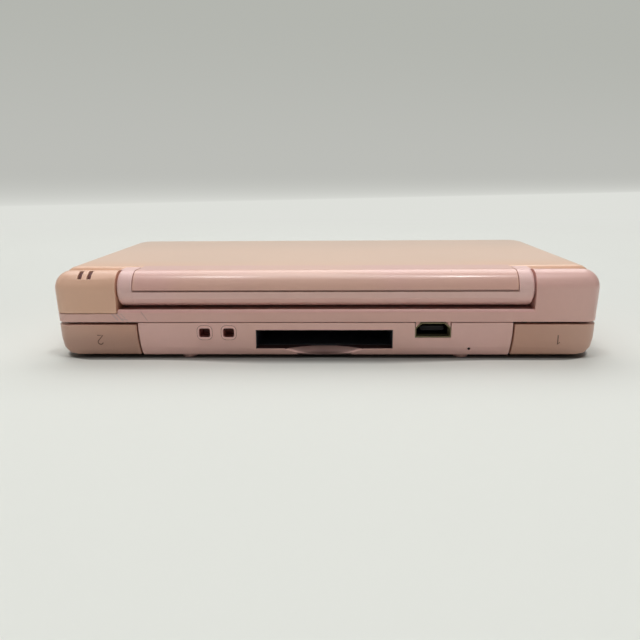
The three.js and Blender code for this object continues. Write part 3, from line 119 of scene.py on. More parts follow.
def paper_sweep():
    """Along the depth v the height is 0 on the table, then a quarter circle, then upright. Across
    the width u the depth shifts in proportion, since the wall wasn't square to the view."""
    bend = np.linspace(0, math.pi / 2, BEND_ROWS)[1:]
    depth = np.concatenate([
        np.linspace(SWEEP_NEAR, SWEEP_BEND, TABLE_ROWS),
        SWEEP_BEND - SWEEP_RADIUS * np.sin(bend),
        np.full(WALL_ROWS, SWEEP_BEND - SWEEP_RADIUS),
    ])
    height = np.concatenate([
        np.zeros(TABLE_ROWS),
        SWEEP_RADIUS * (1 - np.cos(bend)),
        np.linspace(SWEEP_RADIUS, SWEEP_TOP, WALL_ROWS + 1)[1:],
    ])
    across = np.linspace(-SWEEP_HALF_WIDTH, SWEEP_HALF_WIDTH, SWEEP_COLUMNS)
    x, y = np.meshgrid(across, depth)
    z = np.broadcast_to(height[:, None], x.shape)
    return skin(np.stack([x, y + SWEEP_SKEW * x, z], -1))


def node(tree, kind, inputs=(), **settings):
    """Adds a node. inputs maps a socket's name or number to a value or to another's output."""
    made = tree.nodes.new(kind)
    for name, value in settings.items():
        setattr(made, name, value)
    for key, value in dict(inputs).items():
        if isinstance(value, bpy.types.NodeSocket):
            tree.links.new(value, made.inputs[key])
        else:
            made.inputs[key].default_value = value
    return made


def sum_of(tree, operation, first, second=0.0, third=0.0):
    """The output of one Math node."""
    made = node(tree, "ShaderNodeMath", {0: first, 1: second, 2: third}, operation=operation)
    return made.outputs[0]


def vector_of(tree, operation, first, second=(0, 0, 0)):
    """The output of one Vector Math node: a number for a measure, and otherwise a vector."""
    made = node(tree, "ShaderNodeVectorMath", {0: first, 1: second}, operation=operation)
    measured = operation in ("LENGTH", "DISTANCE", "DOT_PRODUCT")
    return made.outputs["Value" if measured else "Vector"]


def ramp_between(tree, value, low, high, to_low=0.0, to_high=1.0):
    """Eases smoothly from to_low to to_high while value goes from low to high."""
    return node(
        tree,
        "ShaderNodeMapRange",
        {"Value": value, "From Min": low, "From Max": high, "To Min": to_low, "To Max": to_high},
        interpolation_type="SMOOTHSTEP",
    ).outputs["Result"]


def blend_colours(tree, share, first, second, how="MIX"):
    """Mixes two colours, each a value of three or an output."""
    full = [(*c, 1) if isinstance(c, tuple) else c for c in (first, second)]
    made = node(
        tree,
        "ShaderNodeMix",
        {"Factor": share, 6: full[0], 7: full[1]},
        data_type="RGBA",
        blend_type=how,
    )
    return made.outputs[2]


def noise(tree, place, size, detail=2, roughness=0.5):
    """Cloudy noise from 0 to 1. size is how many clouds there are to a unit of place."""
    return node(tree, "ShaderNodeTexNoise", {
        "Vector": place, "Scale": size, "Detail": detail, "Roughness": roughness,
    }).outputs[0]


def object_place(tree):
    """The point on the piece, in metres, and its three coordinates."""
    place = node(tree, "ShaderNodeTexCoord").outputs["Object"]
    return place, node(tree, "ShaderNodeSeparateXYZ", {0: place}).outputs


def new_material(name):
    """An empty node material and its tree."""
    made = bpy.data.materials.new(name)
    made.use_nodes = True
    made.node_tree.nodes.clear()
    return made, made.node_tree


def paper():
    """Matt paper, lit on the table; seen directly or in a reflection, the wall shows its own
    even grey, which eases from the bend to the top. The painted contact shadow under the console
    is a rounded rectangle whose edge is sharper towards the corners."""
    material, tree = new_material("white_paper")
    place, axes = object_place(tree)
    fibre = ramp_between(tree, noise(tree, place, FIBRE_SIZE, 3), 0.3, 0.7, to_high=FIBRE_SHARE)
    # Painted shade darkens the table towards the console.
    table = blend_colours(tree, ramp_between(tree, axes["Y"], *SHADE_SPAN), PAPER, PAPER_SHADE)
    table = blend_colours(tree, fibre, table, WALL_LOW)
    beyond = [sum_of(tree, "SUBTRACT", sum_of(tree, "ABSOLUTE", axes[axis]), half - STAND_CORNER)
              for axis, half in zip("XY", STAND_HALF)]
    beyond = [sum_of(tree, "MAXIMUM", part, 0.0) for part in beyond]
    reach = node(tree, "ShaderNodeCombineXYZ", {0: beyond[0], 1: beyond[1]}).outputs[0]
    across = sum_of(tree, "ABSOLUTE", axes["X"])
    soft = ramp_between(tree, across, *STAND_SOFT_SPAN, *STAND_SOFT)
    # Painted contact shadow under the console.
    under = ramp_between(tree, vector_of(tree, "LENGTH", reach),
                         sum_of(tree, "ADD", soft, STAND_CORNER), STAND_CORNER,
                         to_high=SHADOW_SHARE)
    table = blend_colours(tree, under, table, CONTACT_SHADOW)
    lit = node(tree, "ShaderNodeBsdfPrincipled", {
        "Base Color": table, "Roughness": 0.85, "Specular IOR Level": 0.1,
    }).outputs[0]
    behind = sum_of(tree, "MULTIPLY_ADD", axes["X"], PAINT_SKEW, axes["Z"])
    behind = sum_of(tree, "SUBTRACT", behind, axes["Y"])
    grey = blend_colours(tree, ramp_between(tree, behind, *WALL_SPAN), WALL_LOW, WALL_HIGH)
    grey = blend_colours(tree, ramp_between(tree, behind, *BEND_SPAN), PAPER_LIT, grey)
    flat = node(tree, "ShaderNodeEmission", {"Color": grey, "Strength": 1.0}).outputs[0]
    path = node(tree, "ShaderNodeLightPath").outputs
    seen = sum_of(tree, "ADD", path["Is Camera Ray"], path["Is Glossy Ray"])
    seen = sum_of(tree, "ADD", seen, path["Is Transmission Ray"])
    far = ramp_between(tree, axes["Y"], *BACKDROP_SPAN)
    shown = sum_of(tree, "MULTIPLY", sum_of(tree, "MINIMUM", seen, 1.0), far)
    mixed = node(tree, "ShaderNodeMixShader", {0: shown, 1: lit, 2: flat}).outputs[0]
    node(tree, "ShaderNodeOutputMaterial", {0: mixed})
    return material


sweep = mesh_object("paper_sweep", [paper_sweep()])
sweep.data.materials.append(paper())


# ---- Light
# A narrow soft panel hangs over the table and a wide one behind it, and two small ceiling lamps
# streak the barrel. The room is pale overhead, darker at the horizon, and paler behind the view.
PANELS = (  # name, place, width and depth in metres, watts
    ("overhead_panel", (0.03, 0.02, 1.0), 0.56, 0.28, 1.9),
    ("back_panel", (0.08, -0.65, 0.90), 1.4, 0.8, 8.0),
    ("ceiling_lamp_left", (0.21, 0.20, 1.0), 0.12, 0.08, 1.2),
    ("ceiling_lamp_right", (-0.22, 0.20, 1.0), 0.08, 0.08, 1.4),
)
ROOM_LOW, ROOM_HIGH = (0.03, 0.03, 0.03), (0.335, 0.34, 0.335)
ROOM_SPAN, ROOM_LEAN = (0.05, 0.85), 0.14

for name, place, width, depth, watts in PANELS:
    panel = bpy.data.objects.new(name, bpy.data.lights.new(name, "AREA"))
    scene.collection.objects.link(panel)
    panel.data.shape, panel.data.size, panel.data.size_y = "RECTANGLE", width, depth
    panel.data.energy = watts
    panel.location = place
    panel.rotation_euler = (-Vector(place)).to_track_quat("-Z", "Y").to_euler()

room = bpy.data.worlds.new("room")
scene.world = room
room.use_nodes = True
room_tree = room.node_tree
room_tree.nodes.clear()
towards = node(room_tree, "ShaderNodeTexCoord").outputs["Generated"]
direction = node(room_tree, "ShaderNodeSeparateXYZ", {0: towards}).outputs
bright = sum_of(room_tree, "MULTIPLY_ADD", direction["Y"], ROOM_LEAN, direction["Z"])
sky = blend_colours(room_tree, ramp_between(room_tree, bright, *ROOM_SPAN), ROOM_LOW, ROOM_HIGH)
fill = node(room_tree, "ShaderNodeBackground", {"Color": sky, "Strength": 1.0})
pale = node(room_tree, "ShaderNodeBackground", {"Color": (*WALL_LOW, 1), "Strength": 1.0})
direct = node(room_tree, "ShaderNodeLightPath").outputs["Is Camera Ray"]
shown = node(room_tree, "ShaderNodeMixShader", {0: direct, 1: fill.outputs[0], 2: pale.outputs[0]})
node(room_tree, "ShaderNodeOutputWorld", {0: shown.outputs[0]})


# ---- Lower shell
# The tray under the deck is one injection moulding in pink ABS with a fine satin texture. Every
# edge of the tool is slightly rounded, and years of light have turned the plastic a little beige.
PINK, PINK_AGED, HANDLED = (0.86, 0.525, 0.475), (0.84, 0.51, 0.425), (0.93, 0.78, 0.70)
DRIFT_SIZE, SPECK_SIZE, GRAIN_SIZE, WAVE_SIZE = 34, 620, 3200, 90
DRIFT_AGE, DRIFT_ROUGHNESS, WAVE_SHARE = 0.28, 0.16, 2.0
HANDLED_SIDE, HANDLED_END = (0.048, 0.067), (0.020, 0.037)
THREAD_SOFT, SCUFF_FADE = 0.03, (1.0, 0.55)
RAG_SIZE, RAG_LEAST, RAG_CORE = 2600, 0.5, 0.3


def group(name, inputs, outputs):
    """A node group with named inputs and outputs; returns it with the ends to wire inside."""
    tree = bpy.data.node_groups.new(name, "ShaderNodeTree")
    for label, value in inputs.items():
        kind = "NodeSocketFloat" if isinstance(value, (int, float)) else (
            "NodeSocketColor" if len(value) == 4 else "NodeSocketVector")
        tree.interface.new_socket(label, in_out="INPUT", socket_type=kind).default_value = value
    for label, kind in outputs.items():
        tree.interface.new_socket(label, in_out="OUTPUT", socket_type=f"NodeSocket{kind}")
    return tree, node(tree, "NodeGroupInput").outputs, node(tree, "NodeGroupOutput").inputs


def moulded_skin_group():
    """Moulded plastic: broad drifts between a fresh and an aged colour, a finer mottle, handled
    corners that are smoother and paler, and a grain of tiny bumps."""
    tree, given, out = group(
        "moulded_skin",
        {"Colour": (1, 1, 1, 1), "Aged": (1, 1, 1, 1), "Age": 0.5, "Roughness": 0.4,
         "Mottle": 0.04, "Polish": 0.08},
        {"Colour": "Color", "Roughness": "Float", "Height": "Float"},
    )
    place, axes = object_place(tree)
    drift = noise(tree, place, DRIFT_SIZE)
    share = ramp_between(tree, drift, 0.32, 0.68, -DRIFT_AGE, DRIFT_AGE)
    share = node(tree, "ShaderNodeClamp", {0: sum_of(tree, "ADD", share, given["Age"])}).outputs[0]
    colour = blend_colours(tree, share, given["Colour"], given["Aged"])
    speck = sum_of(tree, "SUBTRACT", noise(tree, place, SPECK_SIZE, 4, 0.6), 0.5)
    tone = sum_of(tree, "MULTIPLY_ADD", speck, given["Mottle"], 1.0)
    shade = node(tree, "ShaderNodeCombineColor", {0: tone, 1: tone, 2: tone}).outputs[0]
    colour = blend_colours(tree, 1.0, colour, shade, "MULTIPLY")
    side = ramp_between(tree, sum_of(tree, "ABSOLUTE", axes["X"]), *HANDLED_SIDE)
    end = ramp_between(tree, sum_of(tree, "ABSOLUTE", axes["Y"]), *HANDLED_END)
    handled = sum_of(tree, "MULTIPLY", sum_of(tree, "MULTIPLY", side, end), given["Polish"])
    tree.links.new(blend_colours(tree, handled, colour, HANDLED), out["Colour"])
    rough = sum_of(tree, "MULTIPLY_ADD", sum_of(tree, "SUBTRACT", drift, 0.5), DRIFT_ROUGHNESS,
                   given["Roughness"])
    tree.links.new(sum_of(tree, "SUBTRACT", rough, handled), out["Roughness"])
    wave = noise(tree, place, WAVE_SIZE, 1)
    grain = noise(tree, place, GRAIN_SIZE)
    tree.links.new(sum_of(tree, "MULTIPLY_ADD", wave, WAVE_SHARE, grain), out["Height"])
    return tree


def box_mask_group():
    """1 inside a box given by its middle and half size, easing to 0 over a soft margin."""
    tree, given, out = group(
        "box_mask",
        {"Middle": (0, 0, 0), "Half size": (0.01, 0.01, 0.01), "Soft": 0.001},
        {"Mask": "Float"},
    )
    place, _ = object_place(tree)
    away = vector_of(tree, "ABSOLUTE", vector_of(tree, "SUBTRACT", place, given["Middle"]))
    outside = vector_of(tree, "SUBTRACT", away, given["Half size"])
    parts = node(tree, "ShaderNodeSeparateXYZ", {0: outside}).outputs
    most = sum_of(tree, "MAXIMUM", sum_of(tree, "MAXIMUM", parts[0], parts[1]), parts[2])
    tree.links.new(ramp_between(tree, most, given["Soft"], 0.0), out["Mask"])
    return tree


def scratches_group():
    """Hairline scratches inside a soft ellipsoid: noise stretched along a turned direction, of
    which only the highest threads are kept."""
    tree, given, out = group(
        "scratches",
        {"Middle": (0, 0, 0), "Reach": (0.01, 0.01, 0.01), "Turn": (0, 0, 0),
         "Stretch": (900, 60, 900), "Least": 0.62},
        {"Mask": "Float"},
    )
    place, _ = object_place(tree)
    away = vector_of(tree, "SUBTRACT", place, given["Middle"])
    far = vector_of(tree, "LENGTH", vector_of(tree, "DIVIDE", away, given["Reach"]))
    turned = node(tree, "ShaderNodeVectorRotate", {"Vector": away, "Rotation": given["Turn"]},
                  rotation_type="EULER_XYZ").outputs[0]
    threads = noise(tree, vector_of(tree, "MULTIPLY", turned, given["Stretch"]), 1)
    most = sum_of(tree, "ADD", given["Least"], THREAD_SOFT)
    mask = sum_of(tree, "MULTIPLY", ramp_between(tree, threads, given["Least"], most),
                  ramp_between(tree, far, *SCUFF_FADE))
    tree.links.new(mask, out["Mask"])
    return tree


def scored_line_group():
    """One scored line: 1 within a width of a straight stretch that starts at a point and runs
    along a vector, as the distance from the nearest point on that stretch, with a rough edge."""
    tree, given, out = group(
        "scored_line",
        {"Start": (0, 0, 0), "Run": (0.001, 0, 0), "Width": 0.0001},
        {"Mask": "Float"},
    )
    place, _ = object_place(tree)
    away = vector_of(tree, "SUBTRACT", place, given["Start"])
    along = vector_of(tree, "DOT_PRODUCT", away, given["Run"])
    length = vector_of(tree, "DOT_PRODUCT", given["Run"], given["Run"])
    share = sum_of(tree, "DIVIDE", along, length)
    share = node(tree, "ShaderNodeClamp", {0: share}).outputs[0]
    nearest = node(tree, "ShaderNodeVectorMath", {0: given["Run"], "Scale": share},
                   operation="SCALE").outputs[0]
    apart = vector_of(tree, "DISTANCE", away, nearest)
    rag = sum_of(tree, "ADD", noise(tree, place, RAG_SIZE), RAG_LEAST)
    ragged = sum_of(tree, "MULTIPLY", given["Width"], rag)
    core = sum_of(tree, "MULTIPLY", ragged, RAG_CORE)
    tree.links.new(ramp_between(tree, apart, ragged, core), out["Mask"])
    return tree


MOULDED_SKIN = moulded_skin_group()
BOX_MASK = box_mask_group()
SCRATCHES = scratches_group()
SCORED_LINE = scored_line_group()


def placed_group(tree, made, **inputs):
    """One use of a node group; underscores in a keyword stand for spaces."""
    values = {key.replace("_", " "): value for key, value in inputs.items()}
    return node(tree, "ShaderNodeGroup", values, node_tree=made).outputs


def millimetres(place):
    """A place or size in millimetres, given in metres."""
    return tuple(value * MM for value in place)


def box_mask(tree, middle, half, soft):
    """Where a box lies, from its middle, half size and soft margin in millimetres."""
    return placed_group(tree, BOX_MASK, Middle=millimetres(middle), Half_size=millimetres(half),
                        Soft=soft * MM)["Mask"]


def scratch_mask(tree, middle, reach, turned, stretch, least):
    """Where scratches lie, from the middle and reach of their patch in millimetres."""
    return placed_group(tree, SCRATCHES, Middle=millimetres(middle), Reach=millimetres(reach),
                        Turn=turned, Stretch=stretch, Least=least)["Mask"]


def line_mask(tree, start, run, width):
    """Where a scored line lies, from its start, run and width in millimetres."""
    return placed_group(tree, SCORED_LINE, Start=millimetres(start), Run=millimetres(run),
                        Width=width * MM)["Mask"]


def stained(tree, shade, mask, tint, share):
    """The shade with a share of the tint where the mask is."""
    return blend_colours(tree, sum_of(tree, "MULTIPLY", mask, share), shade, tint)


BUMP_DEPTH, SCUFF_ROUGHNESS = 0.02, 0.2


def finish_shader(tree, colour, roughness, height, bump, **sockets):
    """The piece's own shader and output. sockets are further Principled inputs by name."""
    normal = node(tree, "ShaderNodeBump", {
        "Height": height, "Strength": bump, "Distance": BUMP_DEPTH * MM,
    }).outputs[0]
    inputs = {"Base Color": colour, "Roughness": roughness, "Normal": normal}
    inputs |= {key.replace("_", " "): value for key, value in sockets.items()}
    shader = node(tree, "ShaderNodeBsdfPrincipled", inputs).outputs[0]
    node(tree, "ShaderNodeOutputMaterial", {0: shader})


def moulded(name, colour, aged, age, roughness, mottle=0.05, polish=0.08, bump=0.25,
            marks=(), scuffs=(), lines=(), **sockets):
    """A moulded plastic. marks are (box middle, half size, soft, colour, share) in millimetres,
    scuffs are (middle, reach, turn, stretch, least, colour, share), and lines are (start, run,
    width, colour, share)."""
    material, tree = new_material(name)
    base = placed_group(tree, MOULDED_SKIN, Colour=(*colour, 1), Aged=(*aged, 1), Age=age,
                        Roughness=roughness, Mottle=mottle, Polish=polish)
    shade, rough = base["Colour"], base["Roughness"]
    for *box, tint, share in marks:
        shade = stained(tree, shade, box_mask(tree, *box), tint, share)
    for *patch, tint, share in scuffs:
        mask = scratch_mask(tree, *patch)
        shade = stained(tree, shade, mask, tint, share)
        rough = sum_of(tree, "MULTIPLY_ADD", mask, SCUFF_ROUGHNESS, rough)
    for *line, tint, share in lines:
        shade = stained(tree, shade, line_mask(tree, *line), tint, share)
    finish_shader(tree, shade, rough, base["Height"], bump, **sockets)
    return material


EDGE_ANGLE, FLAT_ANGLE = math.radians(38), math.radians(0.05)
WELD_REACH, EVEN_WEIGHT = 0.001, 80


def dress(material, *names, edge, steps=2):
    """Gives a CAD node its finish and rounds its sharp edges by that many millimetres, once its
    triangles are welded and each flat face is joined and evenly cut again."""
    for name in names:
        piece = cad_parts[name]
        piece.data.materials.clear()
        piece.data.materials.append(material)
        piece.data.polygons.foreach_set("use_smooth", np.ones(len(piece.data.polygons), bool))
        piece.modifiers.new("weld", "WELD").merge_threshold = WELD_REACH * MM
        flat = piece.modifiers.new("flat_faces", "DECIMATE")
        flat.decimate_type, flat.angle_limit = "DISSOLVE", FLAT_ANGLE
        piece.modifiers.new("even_cut", "TRIANGULATE")
        rounding = piece.modifiers.new("tool_edge", "BEVEL")
        rounding.width, rounding.segments = edge * MM, steps
        rounding.limit_method, rounding.angle_limit = "ANGLE", EDGE_ANGLE
        rounding.miter_outer, rounding.use_clamp_overlap = "MITER_ARC", False
        even = piece.modifiers.new("even_shading", "WEIGHTED_NORMAL")
        even.weight, even.keep_sharp = EVEN_WEIGHT, True


# Painted shade for recesses, and for the bores of the strap eyes.
SHADOWED, EYE_SHADE = (0.045, 0.016, 0.013), (0.42, 0.15, 0.125)
# The scoop's colours are a painted highlight on its lip and a painted shadow at its foot.
SCOOP_LIT, SCOOP_SHADOW, FLOOR_SCUFF = (0.98, 0.62, 0.56), (0.07, 0.03, 0.026), (0.62, 0.42, 0.38)
STRAP_EYES, RIM_FACE = ((23.3, 6.6), (29.2, 6.6)), 36.873
lower_pink = moulded(
    "lower_shell_pink", PINK, PINK_AGED, 0.35, 0.38, marks=[
        # Painted shade in the bores of the strap eyes and in their mouths in the rims.
        *[((x, 33.0, z), (1.40, 3.8, 1.34), 0.05, EYE_SHADE, 0.95) for x, z in STRAP_EYES],
        *[((x, RIM_FACE, z), (1.39, 0.08, 0.95), 0.02, EYE_SHADE, 0.95) for x, z in STRAP_EYES],
        # Painted shade inside the card slot, then a painted highlight on the lip of its finger
        # scoop and a painted shadow at the scoop's foot.
        ((0, 19.5, 4.8), (17.0, 16.8, 2.34), 0.12, SHADOWED, 0.96),
        ((0, 34.3, 1.85), (9.5, 1.7, 0.5), 0.15, SCOOP_LIT, 0.75),
        ((0, 35.6, 0.75), (6.2, 2.0, 0.25), 0.8, SCOOP_SHADOW, 0.85),
        # Painted shade inside the charging opening and the pin hole.
        ((-26.4, 31, 7), (4.5, 5.0, 2.1), 0.2, SHADOWED, 0.95),
        ((-35.19, 33.2, 2.5), (0.4, 3.0, 0.4), 0.1, SHADOWED, 0.95),
    ],
    scuffs=[((0, 0, 0.9), (60, 34, 1.2), (0, 0, 0.5), (700, 40, 700), 0.66, FLOOR_SCUFF, 0.6)],
    Coat_Weight=0.25, Coat_Roughness=0.12,
)
dress(lower_pink, "base_lower_shell", edge=0.04)


# ---- Strap eye rims
# Each wrist strap eye has a low rim. A thin lip on the rim's face narrows the hole and is painted
# a little paler, a painted highlight, and a painted shade line runs round the rim's foot.
EYE_HALF, EYE_CORNER, LIP_WIDTH, LIP_PROUD = (1.37, 1.10), 0.5, 0.34, 0.03
RIM_HALF, RIM_CORNER, LINE_WIDTH, LINE_PROUD = (1.79, 1.74), 1.2, 0.13, 0.03
RING_STEPS, RING_SECTION, RING_SUNK = 48, 9, 0.01
SHELL_BACK, BACK_DRAFT, LEAN_TOP, LEAN_FOOT = 36.95, 0.35, 17.1, 0.9
LIP_LIT_PINK, LINE_SHADE, LINE_SHADE_AGED = (0.90, 0.57, 0.52), (0.30, 0.155, 0.135), (0.34, 0.18, 0.15)


def back_face(z):
    """How far back the drafted back face of the base lies at a height, in millimetres: it leans
    forward by the draft from the top down to the foot, in proportion to the height."""
    return SHELL_BACK - BACK_DRAFT * (LEAN_TOP - z) / (LEAN_TOP - LEAN_FOOT)


def rim_face(z):
    """The rim's end is upright, so it lies equally far back at every height."""
    return np.full_like(z, RIM_FACE)


def eye_ring(x, z, half, radius, width, proud, surface):
    """A closed ring about an eye: the path is a rounded rectangle of that half size and corner
    radius, and the section is a flat half ellipse that stands outside it on a surface."""
    turn = np.linspace(0, 2 * math.pi, RING_STEPS, endpoint=False)
    outward = np.column_stack([np.cos(turn), np.sin(turn)])
    corner = np.sign(outward.round(9)) * (np.array(half) - radius)
    rows = []
    for angle in np.linspace(0, math.pi, RING_SECTION):
        flat = corner + outward * (radius + width * (1 - math.cos(angle)) / 2)
        depth = surface(z + flat[:, 1]) + proud * math.sin(angle) - RING_SUNK
        rows.append(np.column_stack([x + flat[:, 0], depth, z + flat[:, 1]]))
    return skin(np.stack(rows) * MM, closed_rows=True, closed_columns=True)


def ride_with(piece, material, body):
    """Gives a new piece its finish and its body."""
    piece.data.materials.append(material)
    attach(piece, body)


# The lip is painted a little paler than the shell as a painted highlight, and the line round the
# rim's foot is painted shade.
lip_lit_pink = moulded("strap_lip_pink", LIP_LIT_PINK, PINK, 0.35, 0.4, polish=0.0)
shaded_line = moulded("strap_lip_line", LINE_SHADE, LINE_SHADE_AGED, 0.5, 0.5, polish=0.0)
for name, material, ring in (
    ("rims", lip_lit_pink, (EYE_HALF, EYE_CORNER, LIP_WIDTH, LIP_PROUD, rim_face)),
    ("outlines", shaded_line, (RIM_HALF, RIM_CORNER, LINE_WIDTH, LINE_PROUD, back_face)),
):
    ride_with(mesh_object(f"strap_eye_{name}", [eye_ring(x, z, *ring) for x, z in STRAP_EYES]),
              material, "base")


# ---- Card slot
# A black moulded cradle lines the slot, as far as the finger scoop below and the shell's back
# face above. A row of sprung gold leaves at its inner end presses on the card's pads.
CARD_HALF, CARD_FOOT, CARD_TOP, CARD_END, CARD_MOUTH = 16.7, 2.5, 7.25, 3.95, 36.1
LINING, SCOOP_EDGE = 0.12, 32.6
LEAF_STEPS, LEAF_SKEW, LEAF_THICKNESS = 14, 1.4, 0.14
CARD_LEAF = {"root": 4.3, "reach": 5.2, "foot": 3.0, "rise": 1.15, "width": 0.8}
CARD_CONTACTS = 17


def capped(rows):
    """A section of four corners carried along its rows, with both ends filled."""
    points, faces = skin(rows, closed_columns=True)
    last = len(points) - 4
    return points, faces + [(3, 2, 1, 0), (last, last + 1, last + 2, last + 3)]


def plate(x, y, z):
    """A thin flat plate from its three spans in millimetres: the rectangle of x and z is carried
    from the back end of y to its front end."""
    ring = np.array([[x[0], z[0]], [x[1], z[0]], [x[1], z[1]], [x[0], z[1]]]) * MM
    return capped(np.stack([np.insert(ring, 1, depth * MM, axis=1) for depth in (y[1], y[0])]))


def square_to(path):
    """The directions square to a flat path: its gradient, made one long and turned a quarter."""
    along = np.gradient(path, axis=0)
    along /= np.linalg.norm(along, axis=1)[:, None]
    return np.stack([-along[:, 1], along[:, 0]], 1)


def leaf(path, width, thickness):
    """A bent strip across X: at each point of a path in (y, z) the strip's section is a rectangle
    of that width and thickness, square to the path."""
    path = np.asarray(path, float)
    out = square_to(path) * thickness / 2
    corners = [(-width / 2, 1), (width / 2, 1), (width / 2, -1), (-width / 2, -1)]
    return capped(np.stack([
        np.column_stack([np.full(len(path), side), path + sign * out]) for side, sign in corners
    ], 1) * MM)


def sprung_leaf(root, reach, foot, rise, width):
    """A contact leaf that goes from its root by its reach along Y. Its height is the foot's plus
    the rise times the sine of half a turn, taken at a power of the share of the way."""
    share = np.linspace(0, 1, LEAF_STEPS)
    height = foot + rise * np.sin(math.pi * share ** LEAF_SKEW)
    return leaf(np.stack([root + reach * share, height], 1), width, LEAF_THICKNESS)


def copies(shell, steps_along):
    """The same shell again at each X step, in millimetres."""
    points, faces = shell
    return [(points + np.array([step * MM, 0, 0]), faces) for step in steps_along]


def contact_row(shell, count, half):
    """Copies at equal steps across a slot of that half width, with one step free at each end."""
    return copies(shell, (np.arange(count) + 1) * (2 * half / (count + 1)) - half)


def plain(name, colour, roughness, metal=0.0, size=400, spread=0.08, bump=0.1, **sockets):
    """A small part's finish: one colour with a cloudy change of tone and roughness."""
    material, tree = new_material(name)
    place, _ = object_place(tree)
    cloud = noise(tree, place, size, 4)
    shade = blend_colours(tree, cloud, tuple(c * (1 - spread * 2) for c in colour), colour)
    rough = sum_of(tree, "MULTIPLY_ADD", cloud, spread * 2, roughness - spread)
    finish_shader(tree, shade, rough, cloud, bump, Metallic=metal, **sockets)
    return material


slot_black = plain("slot_black", (0.075, 0.08, 0.095), 0.35)
gold_plate = plain("gold_plate", (0.62, 0.42, 0.17), 0.32, metal=1.0, size=900)
across, along = (-CARD_HALF, CARD_HALF), (CARD_END, CARD_MOUTH)
between = (CARD_FOOT + LINING, CARD_TOP - LINING)
ride_with(mesh_object("card_slot_lining", [
    plate(across, (CARD_END, SCOOP_EDGE), (CARD_FOOT, CARD_FOOT + LINING)),
    plate(across, along, (CARD_TOP - LINING, CARD_TOP)),
    plate((-CARD_HALF, LINING - CARD_HALF), along, between),
    plate((CARD_HALF - LINING, CARD_HALF), along, between),
], smooth=False), slot_black, "base")
dress(slot_black, "card_slot_cage", edge=0.06, steps=1)
ride_with(mesh_object("card_slot_contacts", contact_row(
    sprung_leaf(**CARD_LEAF), CARD_CONTACTS, CARD_HALF,
)), gold_plate, "base")


# ---- Charging socket
# A folded steel can with chamfered upper corners, whose lip flares at the opening. A black tongue
# with a row of gold strips along its underside stands in the middle, on a black back wall.
SOCKET_X, SOCKET_Z = -26.4, 7.15
TONGUE_HALF, TONGUE_THICK, TONGUE_Y = 2.75, 0.55, (28.85, 34.2)
INNER_HALF, INNER_Y, INNER_Z = 3.85, (28.95, 29.5), (5.7, 8.1)
CAN_HALF, CAN_CROWN, CAN_SHOULDER = 4.175, 2.775, 1.2
CROWN_GROWTH, SHOULDER_GROWTH = 0.4, 0.2
MOUTH_FOOT, MOUTH_TOP, MOUTH_WALL = 5.45, 8.85, 0.26
MOUTH_REACH = ((34.6, 0.0), (36.1, 0.0), (36.42, 0.16))
STRIP_Y, STRIP_WIDTH, STRIP_THICK, STRIP_SPREAD, STRIPS = (29.6, 33.0), 0.42, 0.08, 1.9, 5


def socket_outline(grow):
    """The can's six corners in (x, z), grown outward by that much."""
    side, crown = CAN_HALF + grow, CAN_CROWN + grow * CROWN_GROWTH
    low, high = MOUTH_FOOT - grow, MOUTH_TOP + grow
    shoulder = high - CAN_SHOULDER + grow * SHOULDER_GROWTH
    return SOCKET_X * np.array([1, 0]) + np.array([
        (-side, low), (side, low), (side, shoulder),
        (crown, high), (-crown, high), (-side, shoulder),
    ])


def socket_mouth():
    """The can's walls carried back to the opening, where they flare: the inner faces run out to
    the rim and the outer faces run back, and each row is the can's outline at one depth."""
    inner = [(depth, grow - MOUTH_WALL) for depth, grow in MOUTH_REACH]
    outer = [(depth, grow) for depth, grow in reversed(MOUTH_REACH)]
    rows = [np.insert(socket_outline(grow), 1, depth, axis=1) for depth, grow in inner + outer]
    return skin(np.stack(rows) * MM, closed_rows=True, closed_columns=True)


nickel = plain("brassy_nickel", (0.20, 0.175, 0.10), 0.36, metal=1.0)
dress(nickel, "charging_socket", edge=0.08)
ride_with(mesh_object("charging_insert", [
    plate((SOCKET_X - TONGUE_HALF, SOCKET_X + TONGUE_HALF), TONGUE_Y,
          (SOCKET_Z - TONGUE_THICK, SOCKET_Z + TONGUE_THICK)),
    plate((SOCKET_X - INNER_HALF, SOCKET_X + INNER_HALF), INNER_Y, INNER_Z),
], smooth=False), plain("socket_black", (0.005, 0.005, 0.006), 0.65), "base")
ride_with(mesh_object("charging_mouth", [socket_mouth()], smooth=False), nickel, "base")
strip = leaf([(y, SOCKET_Z - TONGUE_THICK) for y in STRIP_Y], STRIP_WIDTH, STRIP_THICK)
strip_steps = SOCKET_X + np.linspace(-STRIP_SPREAD, STRIP_SPREAD, STRIPS)
ride_with(mesh_object("charging_contacts", copies(strip, strip_steps), smooth=False),
          gold_plate, "base")


# ---- Shoulder buttons
# Each corner button is a hollow moulding in the same plastic, but it has yellowed more than its
# neighbours. It turns on a steel pin. A small plain number is pad-printed on its back face.
TAN, TAN_AGED, TAN_SHADE = (0.64, 0.36, 0.262), (0.68, 0.386, 0.288), (0.42, 0.24, 0.185)
STROKE, INK_SUNK, INK_PROUD = 0.13, 0.05, 0.02
NUMERAL_HALF, NUMERAL_Z, NUMERAL_X = 1.15, 4.8, {"left": -56.4, "right": 55.1}
BOWL_WIDTH, BOWL_HEIGHT, BOWL_MIDDLE = 0.62, 0.6, 0.55
button_tan = moulded(
    "shoulder_tan", TAN, TAN_AGED, 0.45, 0.46, polish=0.12,
    # Painted shade darkens the lower part of the right button.
    marks=[((57, 36, 1.8), (10, 3, 2.0), 4.5, TAN_SHADE, 0.5)],
    Coat_Weight=0.12, Coat_Roughness=0.2,
)
dress(button_tan, "shoulder_button_left", "shoulder_button_right", edge=0.25)
bright_steel = plain("bright_steel", (0.60, 0.60, 0.60), 0.25, metal=1.0)
dress(bright_steel, "shoulder_pin_left", "shoulder_pin_right", edge=0.1)


